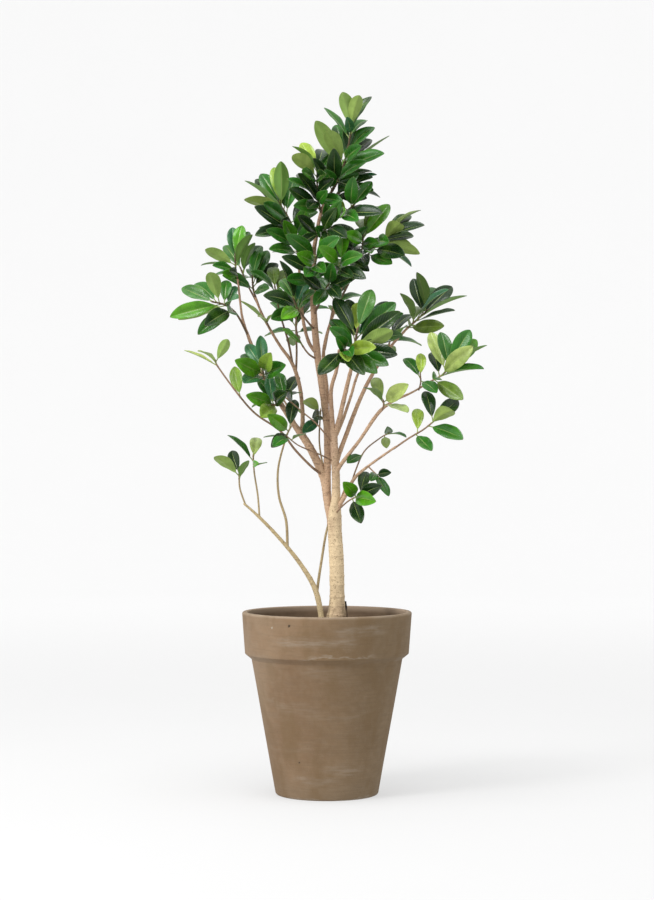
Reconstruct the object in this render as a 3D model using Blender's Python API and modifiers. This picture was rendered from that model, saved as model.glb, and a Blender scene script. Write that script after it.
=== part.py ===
"""Potted ficus: a young rubber fig with a few long branches, in a clay pot with a broad rim.

The frame is in metres with +Z up. The origin is on the floor, under the middle of the pot.
Routes of stems and leaves are in centimetres: x to the right, y to the back and z up from
the pot's foot, drawn for a pot whose soil lies ROUTE_SOIL above that foot.
"""

import bpy
import bmesh
from math import acos, copysign, cos, pi, sin, sqrt
from mathutils import Quaternion, Vector
from mathutils.bvhtree import BVHTree

# Pot, in metres
POT_HEIGHT = 0.306
RIM_RADIUS = 0.1423
BAND_HEIGHT = 0.071
BAND_TAPER = 0.0047
BAND_STEP = 0.0113
BASE_RADIUS = 0.0855
WALL = 0.009
FLOOR_THICKNESS = 0.012
DRAIN_RADIUS = 0.012
LIP_ROUND = 0.003
STEP_SLOPE = 0.8  # the band's underside falls this much for each unit it goes in
TURN_STEPS = 36  # flats round the pot and the soil inside it
CLEARANCE = 0.0003
JOINT_GAP = 1.5 * CLEARANCE  # between a stem and what it grows from or stands in
SOIL_GAP = 2 * CLEARANCE

# Filling, in metres
SOIL_BELOW_RIM = 0.028
SOIL_CROWN = 0.002
NET_RADIUS = 0.030
NET_THICKNESS = 0.002
NET_HOLE_RADIUS = 0.0045
NET_RING = 0.58  # the ring of holes lies at this share of the net's radius
NET_RING_HOLES = 6

# Plant, in metres
PLANT_HEIGHT = 0.893
PLANT_WIDTH = 0.524
PLANT_DEPTH = 0.380
TRUNK_RADIUS = 0.0126
LEAF_LENGTH = 0.075
LEAF_WIDTH = 0.027
LEAF_THICKNESS = 0.0009
STALK_SHARE = 0.13
STALK_RADIUS = 0.0008
LEAF_SPACING = 0.0042
LEAF_ROOM = 0.8  # the most of the twig below a whorl that its leaves may take

# The sizes that the routes below are drawn at, in their own centimetres
ROUTE_SOIL = 27.8
ROUTE_HEIGHT = 89.3
ROUTE_WIDTH = 52.4
ROUTE_DEPTH = 32.0
ROUTE_TRUNK = 1.26
ROUTE_LEAF = 7.5

SOIL_TOP = POT_HEIGHT - SOIL_BELOW_RIM
ACROSS = PLANT_WIDTH / ROUTE_WIDTH
BACK = PLANT_DEPTH / ROUTE_DEPTH
UP = PLANT_HEIGHT / ROUTE_HEIGHT
GIRTH = TRUNK_RADIUS / ROUTE_TRUNK
LEAF_UNIT = LEAF_LENGTH / ROUTE_LEAF
GOLDEN = 0.618034

# How leaves differ: arch as a share of the length, and the rise of each half from the midrib
LEAST_ARCH = 0.03
MORE_ARCH = 0.08
LEAST_FOLD = 0.18
MORE_FOLD = 0.2
WIDEST = 1.15  # a long leaf is at most this much wider than a usual one

# How a leaf turns aside until it is free: each try goes further round a spiral and is shorter
TRIES = 160
TRY_SWING = 0.055
TRY_TURN = 2.39996
TRY_SHRINK = 0.002

# Woody stems, oldest first: each point is (x, y, z, radius)
STEMS = {
    "trunk": [
        (1.3, 0.2, 20.5, 0.9), (1.5, 0, 27.8, 1.75), (1.7, 0, 32.5, 1.28), (1.6, 0, 39.2, 1.23),
        (1.35, 0, 43.5, 1.18), (1.3, -0.1, 46.6, 1.1), (1.5, -0.5, 49.8, 0.76),
        (1.5, -0.6, 53, 0.67), (1.3, -0.7, 57, 0.66), (1.1, -0.8, 60.7, 0.62),
    ],
    "rear_leader": [
        (0.9, 0.3, 45.2, 0.7), (0.1, 1, 49.3, 0.72), (-0.1, 1.3, 52.7, 0.74), (0.1, 1.5, 57, 0.6),
        (-0.1, 1.6, 62.7, 0.6), (-0.9, 1.7, 68.6, 0.54), (-1.6, 1.6, 73.7, 0.6),
        (-2.2, 1.4, 80.4, 0.54), (-2.4, 1.2, 86.3, 0.45), (-2.1, 1, 92, 0.36),
        (-0.9, 0.6, 98, 0.3), (0.4, 0.3, 100.5, 0.28),
    ],
    "left_limb": [
        (-0.1, 1.3, 51, 0.6), (-0.9, 1.3, 54, 0.7), (-3.1, 0.8, 58.5, 0.66), (-6, 0, 62.7, 0.48),
        (-8.7, -0.8, 67, 0.42), (-11, -1.2, 70.3, 0.38), (-12.7, -1, 75.4, 0.3),
        (-14.2, -0.2, 79.9, 0.21), (-15, 0.8, 86.3, 0.17),
    ],
    "left_upper_branch": [
        (-4.5, 0.4, 60.4, 0.4), (-4.1, 1.4, 62.7, 0.36), (-4.5, 2.6, 67.8, 0.33),
        (-5.8, 3.4, 72.2, 0.31), (-8.3, 4.2, 75.9, 0.25), (-11, 5, 80.7, 0.22),
        (-12.4, 5.4, 84.3, 0.2),
    ],
    "upper_left_branch": [
        (-1.7, 1.5, 74, 0.34), (-3.1, 2.2, 76, 0.3), (-4.1, 3, 80.1, 0.27),
        (-4.6, 3.8, 86.3, 0.24), (-4.8, 4.1, 90, 0.22),
    ],
    "side_stem": [
        (-0.5, -1.4, 22, 0.35), (-0.8, -1.4, 28.3, 0.46), (-1.9, -1.5, 34.2, 0.45),
        (-4.6, -2, 38.9, 0.36), (-8, -2.8, 43.1, 0.3), (-11.3, -3.8, 46.6, 0.25),
        (-13.7, -4.6, 48.8, 0.18),
    ],
    "front_leader": [
        (1.1, -0.8, 60, 0.45), (0.8, -1.3, 63.6, 0.4), (0.7, -1.8, 67.8, 0.34),
        (1.6, -3, 71.1, 0.3), (2, -4.2, 74.2, 0.25),
    ],
    "front_branch": [
        (1.2, -0.8, 60.2, 0.42), (2.1, -1.3, 63.1, 0.4), (3.2, -2.4, 67.8, 0.36),
        (4.1, -4, 71.5, 0.3),
    ],
    "back_branch": [
        (1.3, -0.6, 59.6, 0.3), (2.7, 0.5, 62.9, 0.28), (4.1, 1.6, 67, 0.24),
        (5, 2.6, 70, 0.22), (6.5, 4, 73.3, 0.18),
    ],
    "right_upper_branch": [
        (1.4, -0.6, 55.4, 0.42), (3.1, 0.4, 59.9, 0.38), (4.8, 1.6, 64.4, 0.35),
        (6.5, 2.6, 68.3, 0.32), (8.5, 3.6, 71.8, 0.28), (11, 4.6, 75.5, 0.24),
        (13.7, 5.4, 78.5, 0.2),
    ],
    "right_limb": [
        (1.5, -0.7, 54, 0.36), (2.8, -1.5, 55.9, 0.32), (5.5, -2, 59.4, 0.28),
        (8.5, -2.6, 63.8, 0.3), (11, -3.2, 65.8, 0.21), (14.2, -4, 67.3, 0.17),
        (17.2, -4.6, 69.1, 0.16),
    ],
    "right_low_branch": [
        (1.5, -0.3, 47.6, 0.38), (2.8, -1.3, 49.6, 0.34), (4.6, -2.4, 53, 0.27),
        (7.1, -3.6, 55.2, 0.21), (11.3, -5.6, 58.2, 0.18),
    ],
    "crown_stem": [
        (0.1, 1.6, 56.2, 0.34), (0.4, 2.7, 59.4, 0.35), (0, 3.1, 64.4, 0.35),
        (-0.1, 3.4, 68.6, 0.36), (-0.6, 3.8, 72.8, 0.3), (-0.3, 4.2, 76.2, 0.27),
        (0.9, 4.6, 80.4, 0.25), (2.3, 4.2, 84.9, 0.22), (3.3, 3.2, 89, 0.18),
    ],
    "cut_stub": [
        (1.6, 0.2, 47.6, 0.28), (2.5, 1, 49.6, 0.27), (3.2, 1.4, 51.5, 0.24),
    ],
    "pruned_sucker": [
        (3.2, -0.9, 25.5, 0.2), (3.3, -1, 29.8, 0.19), (3.1, -1.1, 32.4, 0.13),
    ],
}

# Leafy shoots: the twig's points (x, y, z), its radius at both ends, and its whorls. A whorl is
# its share of the way along the twig and its leaves, lowest first: each is the leaf's tip seen
# from the whorl (right, back, up) and how far its upper face turns to the front (1 all the way,
# 0 facing up, -1 turned to the back).
SHOOTS = {
    "apex_shoot": (
        [(0.4, 0.3, 100.5), (2.1, -0.2, 103.6), (3.1, -0.6, 106.4), (3.8, -0.9, 109.8), (4.1, -1, 112.1)],
        (0.25, 0.13),
        {
            0.3: [
                (-4.5, -3.5, 2.5, 0.6), (-2.5, -5, 0.5, 0.8), (-1, -5, 4, 0.7), (4.5, -3.5, 2, 0.6),
                (3, -5, -2.5, 0.8), (5.5, 2, 1, 0.3), (-4, 4, 2, 0.5),
            ],
            0.62: [
                (7.2, 0.5, 3, 0.1), (-4.3, 5, -1, 0.3), (5.2, -4.5, 0.8, 0.6), (-5.2, -3, 5, -0.7),
                (4.2, 5, 3, 0.5), (-3.4, -5.5, 3, -0.7), (2.4, -6, 0.4, 0.7), (-1.8, 4.5, 5.4, 0.6),
                (4.7, 3, 4.8, 0.5), (1, 3.5, 5.4, 0.5),
            ],
            1.0: [
                (-4.6, 3, 3.4, 0.1), (2.6, 4.5, 1.5, 0.3), (-0.8, -4.2, 0.8, 0.8),
                (3.4, 2.5, 5.2, 0.3), (-1.5, -4.2, 4.9, -0.6), (1, -4.2, 4.9, -0.6),
            ],
        },
    ),
    "apex_left_shoot": (
        [(-1, 0.6, 97.4), (-1.6, -0.6, 101), (-1.6, -1.6, 105.1)],
        (0.19, 0.13),
        {
            0.3: [
                (-5, -4, 1.5, 0.7), (-4.2, -4.8, -1.5, 0.8), (-3.5, -4, 4, 0.6), (1.5, -5.5, 1, 0.8),
                (3.6, -4.6, -1.5, 0.7),
            ],
            0.55: [
                (-2.8, -5, -3.6, 0.7), (3, -5, -3.6, 0.8), (-4.6, -4, 0.6, 0.5), (4.2, -5, 0.6, 0.7),
                (-3.4, 5, 3, 0.5), (2.6, 5, 3.4, 0.5),
            ],
            1.0: [
                (-2.6, -5.5, -1.5, 0.6), (1.5, -5.5, -2, 0.8), (-4, -5, 1.3, -0.6), (3, 4.5, 3, 0.4),
                (-3.4, -4.8, 2.5, 0.1), (-2.7, 4, 4.5, 0.7), (0.3, 5, 4.6, 0.6),
            ],
        },
    ),
    "leader_right_shoot": (
        [(0.1, 0.35, 99.8), (2.4, 1.9, 101.4), (4.1, 2.9, 103.2)],
        (0.19, 0.13),
        {
            0.5: [
                (4.5, -4, -1.5, 0.7), (3, -5.2, 2.4, 0.8), (-1, -5.6, -2, 0.8), (5.2, -2.4, 3, 0.5),
            ],
            1.0: [
                (-3, -5.4, -2.6, 0.8), (5, 2, -2.5, 0.4), (3.4, -5, -2, 0.7), (-4.4, 3.6, 1.6, 0.4),
                (3.8, -4, 1, 0.4), (3.6, 5, 1.5, 0.5),
                (1.5, 4, 5, 0.5), (-0.8, 4.5, 4.5, 0.7),
            ],
        },
    ),
    "leader_mid_shoot": (
        [(-1.9, 0.9, 93.4), (1.2, -1, 96), (4.2, -2.4, 98.3)],
        (0.19, 0.13),
        {
            0.25: [
                (-4.5, -4, 2, 0.7), (-1.5, -5.5, 0, 0.8), (-4, -3.6, -3.5, 0.6), (2, -5.5, 3.2, 0.8),
            ],
            0.5: [
                (-1.6, -5, -4, 0.8), (2.4, -5, -4, 0.7), (-4, -5, 1.4, 0.8), (1, -5.6, 2.6, 0.8),
                (-2.4, 5, 3.6, 0.5),
            ],
            1.0: [
                (-3, -5, -2.5, 0.7), (1, -5.5, -3, 0.8), (5, -3.5, -1.5, 0.6), (3.8, 5, -0.6, 0.4),
                (-2.5, 4, 3.5, 0.7), (2.7, 4.5, 4.2, 0.7), (0.2, -5, 4.4, 0.6),
            ],
        },
    ),
    "crown_right_inner_shoot": (
        [(4.9, 2.6, 88), (5.9, 2, 91.6), (6.1, 1.5, 94.3)],
        (0.17, 0.13),
        {
            0.45: [(-4, -4.8, 0.5, 0.8), (4.2, 3, 3, 0.5), (1, -6, -2.5, 0.8)],
            1.0: [
                (-1.4, -5, -4, 0.8), (2.5, -5.5, -2, 0.8), (-4.8, 3.6, 1.8, 0.4),
                (-3.2, -5.5, -0.5, 0.9), (4.5, 3, 5.2, 0.7),
                (3.2, 4.8, 5, 0.6), (0.3, 5, 4, 0.6),
            ],
        },
    ),
    "crown_right_shoot": (
        [(1.4, 4.5, 81.7), (3.1, 3.6, 84.9), (4.7, 2.6, 87.8), (7.2, 1.2, 91), (10.2, -1, 93.8)],
        (0.22, 0.13),
        {
            0.72: [(3.5, -5, -2.5, 0.7), (-3, -5.5, 1, 0.8)],
            1.0: [
                (2.7, -4.5, -3.9, 0.8), (5.5, 3, -3, -0.5), (3.9, -1, -5.5, 0.1),
                (-0.3, -6, -2.4, 0.8), (4.5, 4, -2.5, -0.6), (4.5, 5, -0.8, 0.6),
                (2, -6, 1.2, -0.5), (5.5, -3.5, 1.8, 0.5), (4, 4, 3.6, 0.6), (5.5, 3, 4, 0.1),
            ],
        },
    ),
    "crown_inner_shoot": (
        [(3.2, 3.3, 88.5), (3.5, 3, 90), (3.6, 2.8, 91.8)],
        (0.16, 0.13),
        {
            1.0: [
                (-2.5, -5, -3.5, 0.9), (4, -4, -3.5, 0.7), (-4.5, -4, 1.5, 0.8), (2, 5.5, 1, 0.3),
                (3, 4.5, 4, 0.5), (-1.5, 4.5, 4.5, 0.6), (0.5, -6, -1, 0.9), (5, -3, 2, 0.6),
            ],
        },
    ),
    "crown_front_shoot": (
        [(-2.2, 1.3, 80.4), (-0.8, -0.6, 83.4), (0.6, -2.4, 86), (2.4, -4, 89)],
        (0.2, 0.13),
        {
            0.6: [
                (-4.5, -4, 1, 0.7), (4.8, -4, 1, 0.7), (-2.5, -5, -4, 0.9), (2, -5.5, -3, 0.8),
                (0.5, -5.5, 3, 0.8),
            ],
            1.0: [
                (-2.5, -4.5, -4, 0.9), (4, -4, -3.2, 0.7), (-0.8, -5.5, -3.5, 0.8),
                (3.5, -5.5, 0.5, 0.7), (-3.8, -5, 2, 0.8), (1, 4, 5, 0.6),
            ],
        },
    ),
    "crown_left_shoot": (
        [(-2.4, 1.2, 84.2), (-2.1, -1, 88), (-1.6, -2.6, 90.4)],
        (0.2, 0.13),
        {
            0.5: [
                (-4.6, -4.6, -1.4, 0.8), (4, -4.8, 0.8, 0.7), (-3.6, 5, 2.8, 0.4), (-5.4, -3, 2.5, 0.7),
            ],
            1.0: [
                (-2, -5, -4.2, 0.9), (2, -5, -3.5, 0.8), (-3.4, -5.5, -0.5, 0.9),
                (3.5, -5.5, 2, 0.7), (-5.2, -4, 2.8, 0.9), (-4, 5, 2, 0.5), (1, 5, 4.5, 0.6),
            ],
        },
    ),
    "upper_left_shoot": (
        [(-4.8, 4.1, 89.8), (-5.3, 4.3, 93), (-6.3, 4.6, 96.7), (-8.1, 4.8, 99.7)],
        (0.2, 0.13),
        {
            0.3: [
                (3.5, -4.5, -2.5, 0.8), (-4.5, -5, -1.5, 0.6), (-4, 5, -1, 0.5), (3.2, -5, 3, 0.8),
                (-5, -4.5, 1.8, 0.7), (-2, -5.5, 3.3, 0.8),
            ],
            0.66: [
                (3, -5, 2, 0.8), (-5.4, 3, -0.8, 0.1), (-6, -3.5, 2.2, 0.7), (2.8, 4.5, 4, 0.5),
                (-5.6, -4, -2.4, 0.7), (-1, -6, -0.5, 0.9), (4.6, -4.2, 0.6, 0.7),
            ],
            1.0: [
                (-3.9, -5.5, -1.7, 0.7), (-5.9, -4, 0.3, -0.4), (-5.9, -2, 3.7, 0.1),
                (2.6, 4.5, 5, 0.6), (-4.2, 3.5, 4.6, 0.6), (1, 5, 5, 0.7), (-2.9, 4, 5.5, 0.7),
                (0.3, -2, 7, 0.1), (-1, 3, 6.6, 0.7),
            ],
        },
    ),
    "left_tip_shoot": (
        [(-14.9, 0.7, 85.8), (-15.4, 1.2, 88.3), (-15.5, 1.4, 90.3)],
        (0.15, 0.12),
        {
            1.0: [
                (-2, -4.6, -3, 0.9), (-0.8, -5, -2.8, 0.7), (-3.2, -4.6, -2.2, 0.6),
                (-5.9, 2, -1.3, 0.1), (3, -4, 3.4, 0.1), (-4.9, -3, 1, -0.6),
                (2.2, 3.6, 4.6, 0.5), (-0.8, 3.6, 4.9, 0.6), (0.9, 4, 5, 0.6),
            ],
        },
    ),
    "left_rear_shoot": (
        [(-11.6, 5.2, 82.2), (-13.6, 6.9, 86), (-14.8, 7.6, 88.8)],
        (0.17, 0.13),
        {
            1.0: [
                (1.5, 6.5, -1, 0.2), (-5.2, 3, -1, 0.3), (2.5, -4, 4.2, 0.2), (3.4, 4, 4.4, 0.5),
                (-3, 4.5, 4.5, 0.5),
            ],
        },
    ),
    "left_upper_shoot": (
        [(-12.3, 5.3, 83.9), (-12.6, 4.4, 85.4), (-12.7, 4, 86.8)],
        (0.17, 0.13),
        {
            1.0: [
                (3, -5, -2, 0.6), (-4, -5, 1, 0.6), (4.2, 4.5, 3, 0.6), (2.5, 4, 5.2, 0.6),
                (0.2, 3.5, 5.8, 0.1), (0.8, 5, 4.4, 0.7),
            ],
        },
    ),
    "far_left_shoot": (
        [(-13.2, -0.7, 76.8), (-14.9, -2, 80.1), (-16.7, -3.4, 81.7), (-18.7, -4.4, 82.2)],
        (0.2, 0.13),
        {
            1.0: [
                (2.6, -5.2, -2, 0.8), (-2.6, -2, -5.5, 0.6), (-1.3, -5, -4.2, 0.8),
                (4.2, -4.8, 0.3, 0.4), (3.4, 4.5, 3, 0.6), (-6.2, 3.5, -2.7, -0.5),
                (1.8, 5, 4, 0.7), (-7.2, -2, -2.6, 0.7), (-0.5, -4.5, 4.6, -0.7),
                (-3.5, 5, 3.4, 0.6), (-5.6, 3.5, 2.6, 0.7),
            ],
        },
    ),
    "left_mid_shoot": (
        [(-5.8, 3.4, 72), (-6.6, 3.2, 76.2), (-8, 3, 80.9), (-8.8, 2.8, 85.1)],
        (0.21, 0.13),
        {
            1.0: [
                (1.5, -5.5, -1, 0.7), (-4, -4.5, 2.5, 0.5), (2.3, 5, 3.4, 0.7), (-0.9, 4.8, 4, 0.7),
            ],
        },
    ),
    "inner_left_shoot": (
        [(-2.1, 1.4, 78), (-3.4, -0.4, 79.4), (-4.8, -2, 81.2), (-5.5, -3, 82.6)],
        (0.19, 0.13),
        {
            1.0: [
                (-3.7, -4.5, -3.4, 0.7), (3.6, -5, 1, 0.5), (-2, -5.5, -3.4, 0.8),
                (-5, -4.5, 0.5, 0.7), (3.8, 4, 4.8, 0.7), (-2.4, 2, 6.8, 0.1), (-1.2, 4.5, 5, 0.7),
            ],
        },
    ),
    "inner_left_twig": (
        [(-1.7, 1.6, 73), (-3.4, 0.4, 74.2), (-5, 0.4, 77.2), (-5.2, 0.8, 81)],
        (0.17, 0.12),
        {
            0.4: [(-3.4, -3.5, 2.4, 0.5)],
            1.0: [(-3, 4.5, 3.5, 0.5), (2, 5, 3.5, 0.5)],
        },
    ),
    "left_twiglet": (
        [(-9.8, 4.7, 78.4), (-10, 3.6, 78.9), (-10.2, 2.4, 79.3)],
        (0.14, 0.1),
        {
            1.0: [(-4.6, -2, 3.6, 0.1), (-1.4, -3, 0.8, 0.3), (1, -3.2, 1, 0.3)],
        },
    ),
    "left_low_branch": (
        [
            (-0.9, 1.1, 53.6), (-2.6, -0.4, 54.9), (-5.3, -2, 57.7), (-7.8, -3.5, 60.9),
            (-11.7, -5.6, 63.6), (-14.4, -7.3, 66.6), (-17.6, -9.2, 71), (-18.2, -9.8, 72.2),
        ],
        (0.23, 0.12),
        {
            0.74: [(-1, 3.5, 5, 0.9)],
            1.0: [(-5.2, 1.6, 1.8, 0.1), (-2.6, -4, 1.4, 0.2), (2.2, -3, 3.4, -0.7)],
        },
    ),
    "left_front_shoot": (
        [(-10.5, -1.1, 69.5), (-10.6, -2.8, 70.4), (-10.7, -4.2, 71.2)],
        (0.18, 0.13),
        {
            1.0: [
                (-2.9, -5.5, -2.6, 0.4), (4, -5, 0.4, 0.8), (-4.4, -5, 1.2, 0.9),
                (-3.4, 5, 2.8, 0.6), (1.6, -6, 2.4, 0.8), (-0.4, 2, 5.6, 0.1), (-1.4, 4.5, 4.6, 0.8),
            ],
        },
    ),
    "left_centre_shoot": (
        [(-7.5, -0.4, 65.1), (-8.4, -2.4, 65.2), (-9, -4, 65.2)],
        (0.18, 0.13),
        {
            1.0: [
                (-1.8, -5.8, -2.2, 0.8), (2.5, -5.5, 2, 0.7), (-3.6, -5.2, 1, 0.9),
                (-3.4, 4.8, 3, 0.6), (-1.8, 4.5, 4.2, 0.8),
            ],
        },
    ),
    "left_crossing_twig": (
        [(1, -0.9, 58.8), (-1.6, -2.4, 61.9), (-3.8, -3.4, 63.8), (-7.1, -4.8, 66.6)],
        (0.14, 0.11),
        {
            1.0: [(1, -5.5, 0.5, 0.6), (2.6, 4.5, 0.6, 0.1), (-1, 4, 4, 0.5)],
        },
    ),
    "left_crossing_low_twig": (
        [(0.9, -0.7, 55.9), (-1.3, -2.6, 57), (-4.6, -4.8, 58.4), (-6.3, -6, 59.7)],
        (0.13, 0.1),
        {
            1.0: [(2.8, -4, 0.6, 0.1), (-2.5, -5, -1.5, 0.5)],
        },
    ),
    "side_stem_inner_shoot": (
        [
            (-6.6, -2.5, 41.4), (-6.8, -2.9, 45.9), (-8, -3.2, 50.1), (-8.1, -3.6, 54.7),
            (-6.8, -4.4, 59.7), (-6.1, -4.8, 61.3),
        ],
        (0.25, 0.13),
        {
            1.0: [
                (-4.5, 3, -1.5, 0.1), (-3, -5, -3.2, 0.8), (-3.6, -5.2, 2.2, 0.9),
                (1.3, 3.5, 5.4, 0.7),
            ],
        },
    ),
    "behind_trunk_shoot": (
        [
            (-1.7, -1.5, 33.8), (-1.3, 0.2, 36.7), (-0.9, 1.6, 39.2), (-0.3, 2.6, 42.9),
            (0.4, 3.2, 46.5), (0.3, 3.6, 51.8), (-0.6, 3.6, 54.7), (-1.3, 3.4, 59.1), (-1.1, 2.8, 64.1),
        ],
        (0.25, 0.13),
        {
            1.0: [(-3, -4, -3.5, 0.8), (-0.8, -6, -1, 0.8), (-2.6, -5, 2, -0.6)],
        },
    ),
    "big_rosette_shoot": (
        [(4, -3.8, 71.1), (4.3, -4.6, 73.2), (4.6, -5.4, 75.2), (5, -6.2, 77.4)],
        (0.26, 0.15),
        {
            0.6: [
                (-3, -5.2, -2.6, 0.8), (5.5, -5, -3.4, 0.7), (7, -3.5, -1.6, 0.8),
                (-4.2, -4.5, 2.8, 0.7), (-4, 4, 4.6, 0.6),
            ],
            1.0: [
                (5.4, -4.8, -0.6, -0.6), (7.6, 2, -0.6, 0.6), (6.8, -3, 2.8, 0.8),
                (-1.5, 5.5, 5.5, 0.6), (5.6, 5, 4.6, 0.5), (6.4, 3, 4.8, 0.8), (-3.8, 3.5, 5.6, 0.7),
                (0.2, 5, 4.2, 0.9), (2.4, 3.5, 7, 0.8),
            ],
        },
    ),
    "front_cluster_shoot": (
        [(1.9, -4, 73.8), (2.7, -5.8, 74.3), (3.4, -7.4, 73.9)],
        (0.22, 0.14),
        {
            1.0: [
                (-4.8, -3.6, -4, 0.7), (3.8, -4, -4.4, 0.8), (1.6, -3.8, -5.8, 0.8),
                (-3, -5, 2, 0.7), (4.6, -4.8, 0.4, 0.8), (-0.6, -6, -1.6, 0.9), (1.8, -6, -0.6, 0.9),
            ],
        },
    ),
    "rear_right_shoot": (
        [(6.3, 3.8, 72.9), (7.2, 6, 75.6), (7.6, 8.6, 78.6)],
        (0.17, 0.14),
        {
            1.0: [
                (-1, 6.5, 1, 0.1), (1, -4.5, -4.5, 0.7), (-4, 5, -1, 0.3), (4, 5.5, -1, 0.3),
                (5.5, -3, 2.5, 0.6), (3, 4, 5, 0.5), (-2, 4.5, 4.8, 0.5),
            ],
        },
    ),
    "right_tip_shoot": (
        [(13.4, 5.3, 78.2), (15.2, 5.7, 79.8), (17, 6, 81.4)],
        (0.18, 0.13),
        {
            0.45: [
                (4.8, -4.8, -1, 0.8), (-2.5, 5, -2, 0.3), (-1.2, -5.8, -1, 0.8), (0.2, 5.5, 3, 0.8),
                (-2.6, -4, 4.6, 0.2),
            ],
            1.0: [
                (4.7, -5.2, -0.6, 0.3), (3.6, -5, 3.4, 0.4), (6.9, -1.5, 2.6, 0.1),
                (1.9, 5.5, 4.4, 0.8), (4.6, 4, 4.6, 0.7), (-1.8, 4.5, 5.4, 0.7), (-1.7, -2, 6.6, 0.1),
            ],
        },
    ),
    "right_limb_shoot": (
        [(16.8, -4.6, 68.9), (18.9, -5.1, 70), (20.2, -5.6, 71.3)],
        (0.15, 0.13),
        {
            1.0: [
                (2, -4.4, -5.4, 0.8), (-3, -5, -2, 0.6), (5.4, -4.6, -0.4, 0.3),
                (-2.6, 5.5, 2.8, 0.7), (3.6, -5.2, 2.4, 0.9), (6.1, -2, 3.6, 0.1),
                (5.2, 3, 4.8, 0.8), (-3, 3.5, 6, 0.7), (3.6, 3, 6.4, 0.8), (-1.2, 5, 5.2, 0.6),
            ],
        },
    ),
    "right_limb_mid_shoot": (
        [(15.2, -4.3, 67.6), (15.5, -5, 68.9), (15.4, -5.6, 70)],
        (0.13, 0.11),
        {
            1.0: [(2.5, -5, -3, 0.6), (-2.5, 4.5, 3, 0.5), (0.2, 3.5, 3.8, 0.8)],
        },
    ),
    "right_limb_inner_shoot": (
        [(9.2, -2.7, 64.3), (9.4, -4.2, 65.2), (9.3, -5.4, 65.8)],
        (0.15, 0.12),
        {
            1.0: [(3.9, -4.8, -2, 0.2), (-3.2, -4.5, 2, 0.1), (4, -5.2, 2.6, 0.8), (-1.4, 4.5, 4, 0.7)],
        },
    ),
    "right_low_shoot": (
        [(11, -5.4, 57.9), (13.4, -6.8, 59.6), (15.7, -8.5, 61), (17.4, -9.8, 62.4)],
        (0.17, 0.12),
        {
            0.6: [(2, -5, -3, 0.6), (0, 4.5, 4, 0.8)],
            1.0: [(4.5, -4.5, -3, 0.6), (2.8, -5.8, 1.6, -0.6), (4.2, 4.6, 3.6, 0.8), (-1.2, 4.5, 5, 0.2)],
        },
    ),
    "right_inner_shoot": (
        [(4, -2.1, 51.8), (4.8, -1, 54.3), (6.3, 0.4, 57.5), (8.8, 1.8, 59.6), (10.5, 2.6, 60.6)],
        (0.15, 0.1),
        {
            0.5: [(-3.2, -4, -1.2, 0.6)],
            1.0: [(-0.3, 3.8, -2.6, -0.6), (2.8, -3.5, -0.8, 0.1), (-0.6, -4.4, 0.8, 0.8)],
        },
    ),
    "trunk_front_shoot": (
        [(1.3, -0.1, 46.8), (2.3, -2.2, 48.1), (3.8, -3.8, 49.4), (5.6, -5, 50.3)],
        (0.15, 0.12),
        {
            1.0: [
                (0, -4.6, -4.6, 0.9), (2.4, -5.8, -1, 0.9), (-3, -5.2, 2.2, 0.9),
                (3.4, -5, 1.6, 0.8), (0.6, 4.5, 4.2, 0.8),
            ],
        },
    ),
    "right_low_twiglet": (
        [(6.8, -3.5, 55), (7.6, -4.8, 54.2), (8.3, -5.8, 53.5)],
        (0.13, 0.1),
        {
            1.0: [(1.8, -2.6, -3.4, 0.2), (-1.2, -3.8, -0.9, 0.9), (2.2, -3.4, 0.5, 0.8)],
        },
    ),
    "side_tip_shoot": (
        [(-13.5, -4.5, 48.6), (-14.4, -5.2, 51.4), (-14.5, -5.4, 54)],
        (0.16, 0.12),
        {
            1.0: [(1.6, -3.6, 2, 0.2), (-3.9, -4, 2.6, -0.5), (-1.4, 4, 3.6, 0.8)],
        },
    ),
    "side_upper_shoot": (
        [(-11.2, -3.7, 46.3), (-11.5, -3, 50), (-12.1, -2.6, 53.8), (-12.3, -2.5, 56.4)],
        (0.17, 0.12),
        {
            1.0: [
                (2.4, -2.6, -0.8, 0.1), (1, -3.4, -0.8, 0.9), (-4.4, 2, 3.8, 0.1), (0.4, 5, 3.4, 0.8),
            ],
        },
    ),
    "rear_crown_shoot": (
        [(-0.4, 4.1, 74.8), (0.4, 6.6, 79), (1.4, 9, 84)],
        (0.22, 0.14),
        {
            1.0: [
                (3, 3, -5, 0.3), (-5, 2.5, -2.5, 0.3), (0, 6.5, -2.5, 0.2), (5, 3.5, 0.5, 0.3),
                (3, 4.5, 4.5, 0.3), (-4, 4, 4, 0.3), (0.5, 2.5, 6.5, 0.4),
            ],
        },
    ),
    "rear_left_shoot": (
        [(-5.3, 3.2, 70.2), (-5.2, 6.6, 74.5), (-5.4, 9.5, 79.5)],
        (0.21, 0.14),
        {
            1.0: [
                (-0.5, 6, -3.5, 0.2), (4.5, 4, -1.5, 0.3), (-5.5, 3, -2, 0.3), (3, 4, 4.5, 0.3),
                (-4.5, 3.5, 4, 0.3), (0, 3, 6.5, 0.4),
            ],
        },
    ),
    "rear_right_upper_shoot": (
        [(8.8, 3.8, 72.2), (10.3, 7, 74.4), (11, 10, 77.4)],
        (0.19, 0.14),
        {
            1.0: [
                (0, 6, -3.5, 0.3), (5.5, 3.5, -1.5, 0.3), (-5, 3.5, -1.5, 0.2), (4, 4, 4, 0.3),
                (-3, 4, 5, 0.3),
            ],
        },
    ),
    "rear_low_left_shoot": (
        [(-4.8, 0.4, 60.7), (-6, 5, 63.6), (-7.6, 9, 66.6)],
        (0.2, 0.13),
        {
            1.0: [(3.5, 4.5, -3, 0.3), (-5.5, 3, -1.5, 0.2), (2.5, 4.5, 4, 0.3), (-4, 3.5, 4, 0.3)],
        },
    ),
}

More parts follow.
